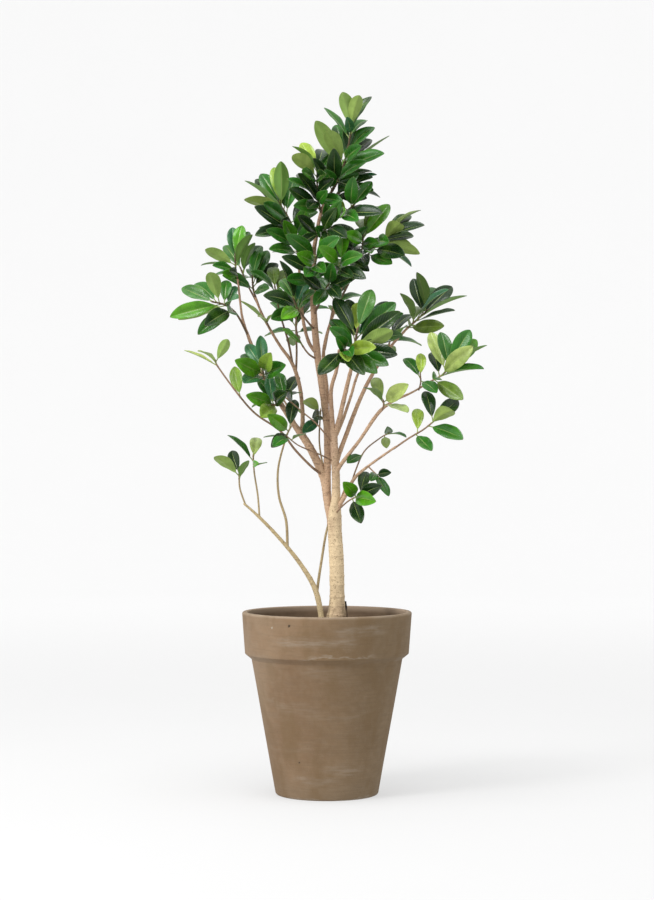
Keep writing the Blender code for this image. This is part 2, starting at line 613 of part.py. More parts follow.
# A leaf's outline: places along it from stalk to tip, and the half width there as a share of
# the widest
LEAF_STATIONS = [0.0, STALK_SHARE, 0.47, 0.8, 1.0]
LEAF_SHARES = [0.0, 0.0, 1.0, 0.76, 0.0]


def place(x, y, z):
    """The world position of a route's point."""
    return Vector((x * ACROSS, y * BACK, SOIL_TOP + (z - ROUTE_SOIL) * UP))


def clear_scene():
    for item in list(bpy.data.objects):
        bpy.data.objects.remove(item, do_unlink=True)


def collection(name):
    made = bpy.data.collections.new(name)
    bpy.context.scene.collection.children.link(made)
    return made


def move_to(item, home):
    for old in list(item.users_collection):
        old.objects.unlink(item)
    home.objects.link(item)


def material(name, colour, roughness):
    made = bpy.data.materials.new(name)
    made.use_nodes = True
    shader = made.node_tree.nodes["Principled BSDF"]
    shader.inputs["Base Color"].default_value = (*colour, 1)
    shader.inputs["Roughness"].default_value = roughness
    shader.inputs["Metallic"].default_value = 0
    made.diffuse_color = (*colour, 1)
    return made


def as_object(name, mesh, looks, home):
    made = bpy.data.objects.new(name, mesh)
    mesh.materials.clear()
    mesh.materials.append(looks)
    mesh.shade_smooth()
    mesh.set_sharp_from_angle(angle=0.7)
    home.objects.link(made)
    return made


def baked(item, name):
    """The item's evaluated shape as a mesh of its own, in world space; the item is removed."""
    graph = bpy.context.evaluated_depsgraph_get()
    graph.update()
    mesh = bpy.data.meshes.new_from_object(item.evaluated_get(graph))
    mesh.name = name
    mesh.transform(item.matrix_world)
    bpy.data.objects.remove(item, do_unlink=True)
    welded = bmesh.new()
    welded.from_mesh(mesh)
    bmesh.ops.remove_doubles(welded, verts=welded.verts, dist=1e-6)
    welded.to_mesh(mesh)
    welded.free()
    return mesh


def smooth_route(points, steps):
    """Points on a smooth curve through the given ones, which hold any number of values."""
    ends = [points[0], *points, points[-1]]
    route = []
    for before, start, stop, after in zip(ends, ends[1:], ends[2:], ends[3:]):
        for step in range(steps):
            t = step / steps
            route.append([
                0.5 * (2 * b + (c - a) * t + (2 * a - 5 * b + 4 * c - d) * t * t
                       + (3 * b - a - 3 * c + d) * t ** 3)
                for a, b, c, d in zip(before, start, stop, after)
            ])
    return [*route, list(points[-1])]


def lengths_of(route):
    return [(b - a).length for a, b in zip(route, route[1:])]


def along(route, share):
    """The point at a share of the way along a route."""
    lengths = lengths_of(route)
    left = share * sum(lengths)
    for start, stop, length in zip(route, route[1:], lengths):
        if left <= length:
            return start.lerp(stop, left / length)
        left -= length
    return route[-1].copy()


def tube(name, route, radii, resolution):
    """A closed tube along the route; its radius follows radii."""
    curve = bpy.data.curves.new(name, "CURVE")
    curve.dimensions = "3D"
    curve.bevel_depth = 1
    curve.bevel_resolution = resolution
    curve.use_fill_caps = True
    spline = curve.splines.new("POLY")
    spline.points.add(len(route) - 1)
    for point, place_at, radius in zip(spline.points, route, radii):
        point.co = (*place_at, 1)
        point.radius = radius
    item = bpy.data.objects.new(name, curve)
    bpy.context.scene.collection.objects.link(item)
    return baked(item, name)


def swollen(mesh, by):
    """A copy of the mesh whose skin stands off from the first by the given distance."""
    copy = mesh.copy()
    shape = bmesh.new()
    shape.from_mesh(copy)
    shape.normal_update()
    moved = [(vert, vert.co + vert.normal * by * vert.calc_shell_factor()) for vert in shape.verts]
    for vert, target in moved:
        vert.co = target
    shape.to_mesh(copy)
    shape.free()
    return copy


def tree_of(mesh):
    shape = bmesh.new()
    shape.from_mesh(mesh)
    tree = BVHTree.FromBMesh(shape)
    shape.free()
    return tree


def combined(mesh, other, operation):
    """The mesh joined to, or cut by, the other one."""
    items = []
    for part in (mesh, other):
        item = bpy.data.objects.new(part.name, part)
        bpy.context.scene.collection.objects.link(item)
        items.append(item)
    items[1].hide_render = True
    items[1].display_type = "WIRE"
    step = items[0].modifiers.new("combine", "BOOLEAN")
    step.operation = operation
    step.object = items[1]
    result = baked(items[0], mesh.name)
    bpy.data.objects.remove(items[1], do_unlink=True)
    return result


def largest_body(mesh):
    """The mesh without any small offcut that a cut has left loose."""
    shape = bmesh.new()
    shape.from_mesh(mesh)
    waiting = set(shape.verts)
    groups = []
    while waiting:
        group = {waiting.pop()}
        edge = list(group)
        while edge:
            vert = edge.pop()
            for link in vert.link_edges:
                other = link.other_vert(vert)
                if other not in group:
                    group.add(other)
                    edge.append(other)
        waiting -= group
        groups.append(group)
    groups.sort(key=len)
    offcuts = [vert for group in groups[:-1] for vert in group]
    bmesh.ops.delete(shape, geom=offcuts, context="VERTS")
    shape.to_mesh(mesh)
    shape.free()
    return mesh


def give_way(mesh, older):
    """The mesh cut back where it meets any of the older stems, with the clearance between."""
    for other in older:
        cutter = swollen(other, JOINT_GAP)
        if tree_of(mesh).overlap(tree_of(cutter)):
            mesh = largest_body(combined(mesh, cutter, "DIFFERENCE"))
    return mesh


def turned(name, profile, home):
    """A solid of revolution about the upright axis from points (radius, height)."""
    mesh = bpy.data.meshes.new(name)
    closed = profile[0][0] > 0
    count = len(profile)
    edges = [(i, (i + 1) % count) for i in range(count if closed else count - 1)]
    mesh.from_pydata([(radius, 0, height) for radius, height in profile], edges, [])
    item = bpy.data.objects.new(name, mesh)
    home.objects.link(item)
    spin = item.modifiers.new("turn", "SCREW")
    spin.angle = 2 * pi
    spin.steps = TURN_STEPS
    spin.render_steps = TURN_STEPS
    spin.use_merge_vertices = True
    spin.merge_threshold = 0.00001
    spin.use_smooth_shade = True
    return item


def wall_radius(height):
    """The outer radius of the pot's body at a height."""
    shoulder = POT_HEIGHT - BAND_HEIGHT
    body_top = RIM_RADIUS - BAND_TAPER - BAND_STEP
    return BASE_RADIUS + (body_top - BASE_RADIUS) * min(height / shoulder, 1)


def pot_profile():
    shoulder = POT_HEIGHT - BAND_HEIGHT
    slope = BAND_STEP * STEP_SLOPE
    foot = LIP_ROUND
    outside = [
        (RIM_RADIUS - LIP_ROUND, POT_HEIGHT),
        (RIM_RADIUS, POT_HEIGHT - LIP_ROUND),
        (RIM_RADIUS - BAND_TAPER, shoulder),
        (wall_radius(shoulder - slope), shoulder - slope),
        (wall_radius(foot), foot),
        (BASE_RADIUS - foot, 0),
        (DRAIN_RADIUS, 0),
        (DRAIN_RADIUS, FLOOR_THICKNESS),
        (wall_radius(FLOOR_THICKNESS) - WALL, FLOOR_THICKNESS),
    ]
    inside = [
        (wall_radius(shoulder) - WALL, shoulder),
        (RIM_RADIUS - BAND_TAPER - WALL, shoulder + slope),
        (RIM_RADIUS - WALL, POT_HEIGHT - LIP_ROUND),
        (RIM_RADIUS - WALL + LIP_ROUND, POT_HEIGHT),
    ]
    return outside + inside


def soil_profile():
    """The soil follows the pot's inside and lies over the net."""
    shoulder = POT_HEIGHT - BAND_HEIGHT
    slope = BAND_STEP * STEP_SLOPE
    top_share = (SOIL_TOP - shoulder - slope) / (POT_HEIGHT - LIP_ROUND - shoulder - slope)
    top_radius = RIM_RADIUS - WALL - BAND_TAPER * (1 - top_share)
    bottom = FLOOR_THICKNESS + CLEARANCE
    net_top = FLOOR_THICKNESS + NET_THICKNESS + SOIL_GAP
    return [
        (0, SOIL_TOP + SOIL_CROWN),
        (top_radius * 0.6, SOIL_TOP + SOIL_CROWN * 0.6),
        (top_radius - SOIL_GAP, SOIL_TOP),
        (RIM_RADIUS - BAND_TAPER - WALL - SOIL_GAP, shoulder + slope),
        (wall_radius(shoulder) - WALL - SOIL_GAP, shoulder),
        (wall_radius(FLOOR_THICKNESS) - WALL - SOIL_GAP, bottom),
        (NET_RADIUS + SOIL_GAP, bottom),
        (NET_RADIUS + SOIL_GAP, net_top),
        (0, net_top),
    ]


def build_pot(home):
    looks = material("clay", (0.30, 0.195, 0.125), 0.85)
    pot = turned("pot", pot_profile(), home)
    pot.data.materials.append(looks)


def build_net(home, cutters):
    """The plastic net over the drain hole: a disc with a ring of holes about a middle one."""
    looks = material("net_plastic", (0.02, 0.02, 0.02), 0.5)
    bpy.ops.mesh.primitive_cylinder_add(vertices=24, radius=NET_RADIUS, depth=NET_THICKNESS)
    net = bpy.context.object
    net.name = "drain_net"
    net.location.z = FLOOR_THICKNESS + CLEARANCE + NET_THICKNESS / 2
    net.data.materials.append(looks)
    move_to(net, home)
    for number in range(NET_RING_HOLES + 1):
        reach = 0 if number == 0 else NET_RADIUS * NET_RING
        turn = number * 2 * pi / NET_RING_HOLES
        bpy.ops.mesh.primitive_cylinder_add(vertices=8, radius=NET_HOLE_RADIUS, depth=4 * NET_THICKNESS)
        hole = bpy.context.object
        hole.name = f"net_hole_{number}"
        hole.location = (reach * cos(turn), reach * sin(turn), net.location.z)
        hole.hide_render = True
        hole.display_type = "WIRE"
        move_to(hole, cutters)
        cut = net.modifiers.new(f"hole_{number}", "BOOLEAN")
        cut.operation = "DIFFERENCE"
        cut.object = hole


def build_stems(home):
    """Every woody stem; a younger stem is cut back where it leaves an older one."""
    looks = {
        "trunk": material("trunk_bark", (0.62, 0.49, 0.34), 0.8),
        "branch": material("branch_bark", (0.42, 0.28, 0.18), 0.8),
        "pruned_sucker": material("dead_wood", (0.03, 0.02, 0.015), 0.9),
    }
    made = {}
    for name, points in STEMS.items():
        rows = smooth_route(points, 2 if len(points) < 9 else 1)
        route = [place(x, y, z) for x, y, z, radius in rows]
        radii = [radius * GIRTH for x, y, z, radius in rows]
        mesh = tube(name, route, radii, 2 if radii[0] > 0.006 else 1)
        made[name] = give_way(mesh, made.values())
        kind = name if name in looks else "trunk" if name == "side_stem" else "branch"
        as_object(name, made[name], looks[kind], home)
    return made


def build_soil(home, stems):
    """The soil, with a socket for each stem that stands in it."""
    looks = material("soil", (0.045, 0.03, 0.02), 0.95)
    mesh = baked(turned("soil", soil_profile(), home), "soil")
    for name in ("trunk", "side_stem", "pruned_sucker"):
        mesh = combined(mesh, swollen(stems[name], JOINT_GAP), "DIFFERENCE")
    as_object("soil", mesh, looks, home)


def leaf_frame(root, tip, face):
    """The leaf's length, its direction, its sideways axis and the way its upper face looks."""
    span = tip - root
    length = span.length
    ahead = span / length
    front = Vector((0, -1, 0))
    upright = Vector((0, 0, 1))
    upward = (upright - ahead * upright.dot(ahead)).normalized()
    forward = (front - ahead * front.dot(ahead)).normalized()
    normal = (upward * (1 - abs(face)) + forward * face).normalized()
    return length, ahead, normal.cross(ahead).normalized(), normal


def leaf_solid(shape, root, tip, face, number, grow=0.0):
    """Adds a closed leaf to shape: a stalk and a folded, arching blade with a blunt tip."""
    length, ahead, side, normal = leaf_frame(root, tip, face)
    arch = (LEAST_ARCH + MORE_ARCH * (number * GOLDEN % 1)) * length
    fold = LEAST_FOLD + MORE_FOLD * (number * GOLDEN * GOLDEN % 1)
    half = LEAF_WIDTH / 2 * min(length / LEAF_LENGTH, WIDEST)
    last = len(LEAF_STATIONS) - 1
    made = bmesh.ops.create_uvsphere(shape, u_segments=4, v_segments=last, radius=1)["verts"]
    for vert in made:
        step = round(acos(max(-1, min(1, vert.co.z))) / pi * last)
        at = LEAF_STATIONS[step]
        width = STALK_RADIUS + grow + (half - STALK_RADIUS) * LEAF_SHARES[step]
        thick = (STALK_RADIUS if step < 2 else LEAF_THICKNESS / 2) + grow
        at_edge = abs(vert.co.x) > abs(vert.co.y)
        at_pole = step in (0, last)
        across = 0.0 if at_pole or not at_edge else copysign(width, vert.co.x)
        above = 0.0 if at_pole or at_edge else copysign(thick, vert.co.y)
        rise = 4 * arch * at * (1 - at) + fold * abs(across) + above
        beyond = grow if step == last else 0
        vert.co = root + ahead * (at * length + beyond) + side * across + normal * rise
    skin = dict.fromkeys(face for vert in made for face in vert.link_faces)
    bmesh.ops.triangulate(shape, faces=list(skin), quad_method="FIXED")


def leaf_tree(root, tip, face, number, grow):
    shape = bmesh.new()
    leaf_solid(shape, root, tip, face, number, grow)
    tree = BVHTree.FromBMesh(shape)
    shape.free()
    return tree


def free_tip(root, tip, face, number, placed):
    """The nearest tip to the wanted one that keeps the leaf clear of all that is placed."""
    for attempt in range(TRIES):
        swing = TRY_SWING * sqrt(attempt)
        turn = TRY_TURN * attempt
        span = tip - root
        shrink = 1 - TRY_SHRINK * attempt
        side = span.orthogonal().normalized()
        axis = Quaternion(span, turn) @ side
        target = root + Quaternion(axis, swing) @ span * shrink
        middle = root.lerp(target, 0.5)
        reach = (target - root).length / 2 + LEAF_WIDTH
        tree = leaf_tree(root, target, face, number, CLEARANCE)
        near = (other for centre, size, other in placed if (centre - middle).length < reach + size)
        if not any(tree.overlap(other) for other in near):
            return target
    return None


def build_shoots(home, stems):
    """Each leafy shoot: a twig and its leaves, grown as one piece and clear of every other."""
    green = material("leaf", (0.035, 0.12, 0.03), 0.35)
    twigs = {}
    for name, (points, (thick, thin), whorls) in SHOOTS.items():
        route = [place(*point) for point in smooth_route(points, 1)]
        count = len(route) - 1
        radii = [(thick + (thin - thick) * i / count) * GIRTH for i in range(count + 1)]
        mesh = tube(name, route, radii, 1 if len(points) < 6 else 0)
        twigs[name] = give_way(mesh, [*stems.values(), *twigs.values()])
    wood = {name: wood_spans(mesh) for name, mesh in (*stems.items(), *twigs.items())}
    blades = []
    for name, (points, girth, whorls) in SHOOTS.items():
        route = [place(*point) for point in smooth_route(points, 1)]
        length = sum(lengths_of(route))
        others = [span for key, span in wood.items() if key != name]
        shape = bmesh.new()
        for share, leaves in whorls.items():
            whorl = along(route, share)
            spacing = min(LEAF_SPACING / length, LEAF_ROOM * share / len(leaves))
            for number, (x, y, z, face) in enumerate(leaves):
                root = along(route, share - (len(leaves) - number - 0.5) * spacing)
                tip = whorl + Vector((x, y, z)) * LEAF_UNIT
                tip = free_tip(root, tip, face, number, blades + others)
                if tip:
                    leaf_solid(shape, root, tip, face, number)
                    middle = root.lerp(tip, 0.5)
                    tree = leaf_tree(root, tip, face, number, 0)
                    blades.append((middle, (tip - root).length / 2 + LEAF_WIDTH, tree))
        foliage = bpy.data.meshes.new(f"{name}_leaves")
        shape.to_mesh(foliage)
        shape.free()
        as_object(name, combined(twigs[name], foliage, "UNION"), green, home)


def wood_spans(mesh):
    """A stem's middle, half its size and its tree of faces, for finding what a leaf may hit."""
    corners = [vert.co for vert in mesh.vertices]
    low = Vector([min(corner[i] for corner in corners) for i in range(3)])
    high = Vector([max(corner[i] for corner in corners) for i in range(3)])
    return (low + high) / 2, (high - low).length / 2, tree_of(mesh)


def build():
    clear_scene()
    home = collection("potted_ficus")
    cutters = collection("cutters")
    build_pot(home)
    build_net(home, cutters)
    stems = build_stems(home)
    build_soil(home, stems)
    build_shoots(home, stems)


build()
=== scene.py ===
"""Potted ficus: a young fig with whorls of glossy leaves, in a tapered clay pot.

Everything is in metres, +Z up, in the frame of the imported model. Routes of stems and leaves are
in centimetres, x to the right and z up from the pot's foot, except that a step of y, to the back,
is a little more: BACK gives it in metres.
"""

import random
from math import cos, exp, pi, radians, sin, sqrt

import bmesh
import bpy
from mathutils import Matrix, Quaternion, Vector, noise
from mathutils.kdtree import KDTree


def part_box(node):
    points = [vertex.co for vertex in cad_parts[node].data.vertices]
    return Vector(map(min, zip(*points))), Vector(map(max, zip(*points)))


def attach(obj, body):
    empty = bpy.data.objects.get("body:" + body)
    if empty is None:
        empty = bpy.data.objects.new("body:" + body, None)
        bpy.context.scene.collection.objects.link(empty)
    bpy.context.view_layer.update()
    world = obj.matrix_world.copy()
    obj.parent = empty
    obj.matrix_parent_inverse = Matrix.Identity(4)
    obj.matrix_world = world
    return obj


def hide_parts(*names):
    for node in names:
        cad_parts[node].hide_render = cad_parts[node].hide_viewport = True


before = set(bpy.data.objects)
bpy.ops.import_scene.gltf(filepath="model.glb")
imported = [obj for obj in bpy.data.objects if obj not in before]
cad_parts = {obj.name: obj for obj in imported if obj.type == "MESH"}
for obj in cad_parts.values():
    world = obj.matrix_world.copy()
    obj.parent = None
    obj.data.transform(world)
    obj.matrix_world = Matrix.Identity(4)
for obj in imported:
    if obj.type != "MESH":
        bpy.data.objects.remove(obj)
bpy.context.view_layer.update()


# ---- Pot ---------------------------------------------------------------------------------
# A tapered planter of unglazed grey-brown clay, thrown with a deep rim band that steps out
# over the body. It was fired once and is worn: pale mineral smears, streaks and dark specks.

pot_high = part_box("pot")[1]
POT_HEIGHT = pot_high.z
RIM_RADIUS = pot_high.x
BAND_HEIGHT = 0.071
BAND_TAPER = 0.0047
BAND_STEP = 0.0113
BASE_RADIUS = 0.0855
WALL = 0.009
FLOOR_THICKNESS = 0.012
DRAIN_RADIUS = 0.012
SHOULDER = POT_HEIGHT - BAND_HEIGHT
BODY_TOP = RIM_RADIUS - BAND_TAPER - BAND_STEP
BAND_BOTTOM = RIM_RADIUS - BAND_TAPER
STEP_DROP = BAND_STEP * 0.8
LIP_ROUND = 0.0032
INNER_LIP_ROUND = 0.0028
BAND_ROUND = 0.0025
NECK_ROUND = 0.004
FOOT_ROUND = 0.0042
DRAIN_EDGE = 0.0015
TURNS = 160
UNEVENNESS = 0.0005


def arc(centre, radius, start, stop, count):
    """Points (radius, height) on an arc, from one angle in degrees to another."""
    turns = [radians(start + (stop - start) * i / count) for i in range(count + 1)]
    return [(centre[0] + radius * cos(t), centre[1] + radius * sin(t)) for t in turns]


def straight(start, stop, count):
    """Points between two corners, without either end."""
    return [
        (start[0] + (stop[0] - start[0]) * i / count, start[1] + (stop[1] - start[1]) * i / count)
        for i in range(1, count)
    ]


def body_radius(height):
    return BASE_RADIUS + (BODY_TOP - BASE_RADIUS) * height / (SHOULDER - STEP_DROP)


def pot_outline():
    """The pot's section: out over the lip, down the band and body, under the foot, up inside."""
    lip = arc((RIM_RADIUS - LIP_ROUND, POT_HEIGHT - LIP_ROUND), LIP_ROUND, 90, 0, 6)
    band_foot = arc((BAND_BOTTOM - BAND_ROUND, SHOULDER + 0.0022), BAND_ROUND, 0, -60, 5)
    step_foot = SHOULDER - STEP_DROP
    neck = arc((body_radius(step_foot) + NECK_ROUND, step_foot - 0.001), NECK_ROUND, 130, 180, 4)
    foot = arc((BASE_RADIUS - 0.003, FOOT_ROUND), FOOT_ROUND, -8, -90, 6)
    drain = [
        (DRAIN_RADIUS + DRAIN_EDGE, 0),
        (DRAIN_RADIUS, DRAIN_EDGE),
        (DRAIN_RADIUS, FLOOR_THICKNESS),
    ]
    inner_foot = (body_radius(FLOOR_THICKNESS) - WALL, FLOOR_THICKNESS)
    inner_neck = (body_radius(SHOULDER) - WALL, SHOULDER)
    inner_band = (BAND_BOTTOM - WALL, SHOULDER + STEP_DROP)
    inner_lip = arc(
        (RIM_RADIUS - WALL + INNER_LIP_ROUND, POT_HEIGHT - INNER_LIP_ROUND),
        INNER_LIP_ROUND, 180, 90, 5)
    outside = lip + straight(lip[-1], band_foot[0], 12) + band_foot + neck
    outside += straight(neck[-1], foot[0], 30) + foot
    inside = drain + [inner_foot] + straight(inner_foot, inner_neck, 12) + [inner_neck, inner_band]
    inside += straight(inner_band, inner_lip[0], 8) + inner_lip
    return outside, inside


def turned(name, outline):
    """A mesh turned about the upright axis from points (radius, height); a section that starts
    off the axis is a closed loop."""
    edges = [(i, i + 1) for i in range(len(outline) - 1)]
    if outline[0][0] > 0:
        edges.append((len(outline) - 1, 0))
    mesh = bpy.data.meshes.new(name)
    mesh.from_pydata([(radius, 0, height) for radius, height in outline], edges, [])
    piece = bpy.data.objects.new(name, mesh)
    bpy.context.scene.collection.objects.link(piece)
    spin = piece.modifiers.new("turn", "SCREW")
    spin.angle = 2 * pi
    spin.steps = TURNS
    spin.render_steps = TURNS
    spin.use_merge_vertices = True
    spin.merge_threshold = 0.00001
    return made_solid(piece)


def made_solid(piece):
    """The piece with its modifiers worked into its mesh."""
    graph = bpy.context.evaluated_depsgraph_get()
    graph.update()
    mesh = bpy.data.meshes.new_from_object(piece.evaluated_get(graph))
    piece.modifiers.clear()
    piece.data = mesh
    shape = bmesh.new()
    shape.from_mesh(mesh)
    bmesh.ops.recalc_face_normals(shape, faces=shape.faces)
    shape.to_mesh(mesh)
    shape.free()
    mesh.shade_smooth()
    return piece


class Skin:
    """A material while it is made: its nodes, the colour so far and the bumps so far."""

    def __init__(self, name, roughness, specular=0.5):
        self.made = bpy.data.materials.new(name)
        self.made.use_nodes = True
        self.nodes = self.made.node_tree.nodes
        self.links = self.made.node_tree.links
        self.shader = self.nodes["Principled BSDF"]
        self.shader.inputs["Roughness"].default_value = roughness
        self.shader.inputs["Specular IOR Level"].default_value = specular
        self.spot_on_piece = self.nodes.new("ShaderNodeTexCoord").outputs["Object"]
        split = self.nodes.new("ShaderNodeSeparateXYZ")
        self.links.new(self.spot_on_piece, split.inputs["Vector"])
        self.sideways, _, self.height = split.outputs
        self.colour = None
        self.normal = None

    def set_socket(self, socket, value):
        """Gives a socket a number, a colour or another socket's value."""
        if isinstance(value, tuple):
            socket.default_value = (*value, 1)
        elif isinstance(value, (int, float)):
            socket.default_value = value
        else:
            self.links.new(value, socket)

    def grain(self, scale, detail, stretch=(1, 1, 1), offset=(0, 0, 0)):
        """A noise over the piece itself, drawn out along the axes whose stretch is small."""
        mapping = self.nodes.new("ShaderNodeMapping")
        mapping.inputs["Scale"].default_value = stretch
        mapping.inputs["Location"].default_value = offset
        texture = self.nodes.new("ShaderNodeTexNoise")
        texture.inputs["Scale"].default_value = scale
        texture.inputs["Detail"].default_value = detail
        texture.inputs["Roughness"].default_value = 0.6
        self.links.new(self.spot_on_piece, mapping.inputs["Vector"])
        self.links.new(mapping.outputs["Vector"], texture.inputs["Vector"])
        return texture.outputs["Fac"]

    def ranged(self, value, low, high, to_low=0.0, to_high=1.0):
        """The value spread from one range to another, smoothly and held at both ends."""
        spread = self.nodes.new("ShaderNodeMapRange")
        spread.interpolation_type = "SMOOTHSTEP"
        spread.inputs["From Min"].default_value = low
        spread.inputs["From Max"].default_value = high
        spread.inputs["To Min"].default_value = to_low
        spread.inputs["To Max"].default_value = to_high
        self.links.new(value, spread.inputs["Value"])
        return spread.outputs["Result"]

    def patchy(self, scale, detail, low, high, to_low=0.0, to_high=1.0,
               stretch=(1, 1, 1), offset=(0, 0, 0)):
        """A noise spread over a range, for the share of a patchy colour."""
        return self.ranged(self.grain(scale, detail, stretch, offset), low, high, to_low, to_high)

    def mixed(self, base, share, colour):
        """The base colour, or socket, mixed towards a colour, or socket, by a share."""
        mix = self.nodes.new("ShaderNodeMix")
        mix.data_type = "RGBA"
        self.set_socket(mix.inputs[0], share)
        self.set_socket(mix.inputs[6], base)
        self.set_socket(mix.inputs[7], colour)
        return mix.outputs[2]

    def tint(self, share, colour):
        """Mixes the colour so far towards another one."""
        self.colour = self.mixed(self.colour, share, colour)

    def worked(self, kind, first, second=0.0):
        """One sum on one or two sockets or numbers."""
        node = self.nodes.new("ShaderNodeMath")
        node.operation = kind
        self.set_socket(node.inputs[0], first)
        self.set_socket(node.inputs[1], second)
        return node.outputs[0]

    def product(self, *factors):
        """All the shares multiplied together."""
        result = factors[0]
        for factor in factors[1:]:
            result = self.worked("MULTIPLY", result, factor)
        return result

    def distance_to(self, at):
        """How far each point of the piece is from a fixed one."""
        away = self.nodes.new("ShaderNodeVectorMath")
        away.operation = "DISTANCE"
        away.inputs[1].default_value = at
        self.links.new(self.spot_on_piece, away.inputs[0])
        return away.outputs["Value"]

    def bump(self, height, distance, strength):
        """Raises the surface by a height, over the bumps it has so far."""
        bump = self.nodes.new("ShaderNodeBump")
        bump.inputs["Distance"].default_value = distance
        bump.inputs["Strength"].default_value = strength
        self.links.new(height, bump.inputs["Height"])
        if self.normal:
            self.links.new(self.normal, bump.inputs["Normal"])
        self.normal = bump.outputs["Normal"]

    def finished(self):
        """The material, with its colour and bumps on its shader."""
        self.links.new(self.colour, self.shader.inputs["Base Color"])
        if self.normal:
            self.links.new(self.normal, self.shader.inputs["Normal"])
        return self.made


# height, left end, right end, half breadth, strength
STREAKS = [
    (0.2635, -0.095, 0.062, 0.0130, 0.26), (0.281, 0.0, 0.105, 0.0110, 0.24),
    (0.2385, -0.05, 0.085, 0.0024, 0.45), (0.052, -0.02, 0.075, 0.010, 0.22),
    (0.034, -0.07, 0.03, 0.009, 0.2), (0.002, -0.09, 0.09, 0.004, 0.4),
    (0.215, -0.06, 0.05, 0.016, 0.12), (0.150, -0.09, 0.0, 0.02, 0.12),
]
# middle, radius, colour
SPOTS = [
    ((-0.061, -0.1271, 0.291), 0.0028, (0.03, 0.02, 0.014)),
    ((-0.090, -0.1090, 0.287), 0.0022, (0.33, 0.29, 0.23)),
    ((-0.046, -0.0870, 0.064), 0.0020, (0.04, 0.027, 0.018)),
]


def streak(skin, height, left, right, breadth, strength):
    """A wavering pale line across the pot, that fades at both ends and is broken up."""
    fade = 0.03
    waver = skin.patchy(14, 4, 0.2, 0.8, -0.009, 0.009, (1, 1, 2.5), (height * 40, 0, 0))
    off = skin.worked("SUBTRACT", skin.worked("ADD", skin.height, waver), height)
    return skin.product(
        skin.ranged(skin.worked("ABSOLUTE", off), 0.0, breadth, strength, 0.0),
        skin.ranged(skin.sideways, left, left + fade),
        skin.ranged(skin.sideways, right - fade, right, 1.0, 0.0),
        skin.patchy(60, 4, 0.38, 0.62, 0.25, 1.0, (0.5, 0.5, 5)),
    )


def spot(skin, at, radius):
    """A share that is high at a point of the pot and falls to nothing at an uneven edge."""
    ragged = skin.patchy(500, 2, 0.3, 0.7, -0.35 * radius, 0.35 * radius)
    far = skin.worked("ADD", skin.distance_to(at), ragged)
    return skin.ranged(far, radius * 0.5, radius, 0.9, 0.0)


def clay():
    """The outside: cloudy brown, with painted shade greying the right side and a pale bloom on the
    left that is partly painted light, wiped, streaked and stained.
    """
    skin = Skin("worn_clay", 0.86, 0.3)
    cloudy = skin.patchy(7, 5, 0.38, 0.64)
    skin.colour = skin.mixed((0.182, 0.112, 0.061), cloudy, (0.225, 0.144, 0.082))
    # painted shade: the colour turns greyer and darker towards the right, the side away from the key
    # light
    skin.tint(skin.ranged(skin.sideways, -0.09, 0.12, 0.0, 0.55), (0.150, 0.113, 0.062))
    skin.tint(skin.patchy(90, 3, 0.35, 0.7, 0.0, 0.22), (0.24, 0.175, 0.115))
    wiped = skin.patchy(5.5, 6, 0.56, 0.72, 0.0, 0.42, (1, 1, 5.5), (3.1, 0.4, 1.7))
    skin.tint(wiped, (0.27, 0.215, 0.155))
    skin.tint(skin.ranged(skin.height, 0.0, 0.055, 0.30, 0.0), (0.19, 0.15, 0.10))
    lip = skin.ranged(skin.height, POT_HEIGHT - 0.005, POT_HEIGHT - 0.001, 0.0, 0.6)
    skin.tint(lip, (0.30, 0.235, 0.17))
    brushed = skin.patchy(42, 5, 0.4, 0.66, 0.0, 0.2, (0.6, 0.6, 9), (2, 5, 1))
    skin.tint(brushed, (0.115, 0.082, 0.05))
    blotches = skin.patchy(17, 5, 0.44, 0.62, 0.0, 0.5, (1.3, 1.3, 0.6), (1, 7, 3))
    skin.tint(blotches, (0.150, 0.094, 0.044))
    # pale patches only on the left, the lit side: partly a mineral bloom, partly painted light
    lit_left_side = skin.ranged(skin.sideways, -0.13, -0.05, 0.24, 0.0)
    bloom_and_painted_light = skin.product(lit_left_side, skin.patchy(15, 5, 0.4, 0.6, 0.3, 1.0, (1, 1, 0.8)))
    skin.tint(bloom_and_painted_light, (0.33, 0.26, 0.185))
    for line in STREAKS:
        skin.tint(streak(skin, *line), (0.36, 0.32, 0.265))
    skin.tint(skin.patchy(420, 1, 0.72, 0.78, 0.0, 0.5), (0.08, 0.05, 0.035))
    for at, radius, colour in SPOTS:
        skin.tint(spot(skin, at, radius), colour)
    skin.bump(skin.grain(26, 3, (1, 1, 9)), 0.0009, 0.35)
    skin.bump(skin.grain(520, 4), 0.0004, 0.45)
    return skin.finished()


def clay_inside():
    """The inside: a darker brown that stands in for the shade inside the rim, with patchy stains,
    paler near the lip where that painted shade ends.
    """
    skin = Skin("shaded_inside_clay", 0.9, 0.25)
    stain = skin.patchy(9, 5, 0.35, 0.65, stretch=(1, 1, 2))
    # painted shade: the inside is a much darker brown than the outside
    skin.colour = skin.mixed((0.105, 0.068, 0.042), stain, (0.17, 0.115, 0.072))
    # paler towards the lip, where the painted shade fades out
    paler_towards_lip = skin.ranged(skin.height, POT_HEIGHT - 0.012, POT_HEIGHT - 0.002, 0.0, 0.8)
    skin.tint(paler_towards_lip, (0.33, 0.25, 0.18))
    skin.bump(skin.grain(350, 4), 0.0004, 0.5)
    return skin.finished()


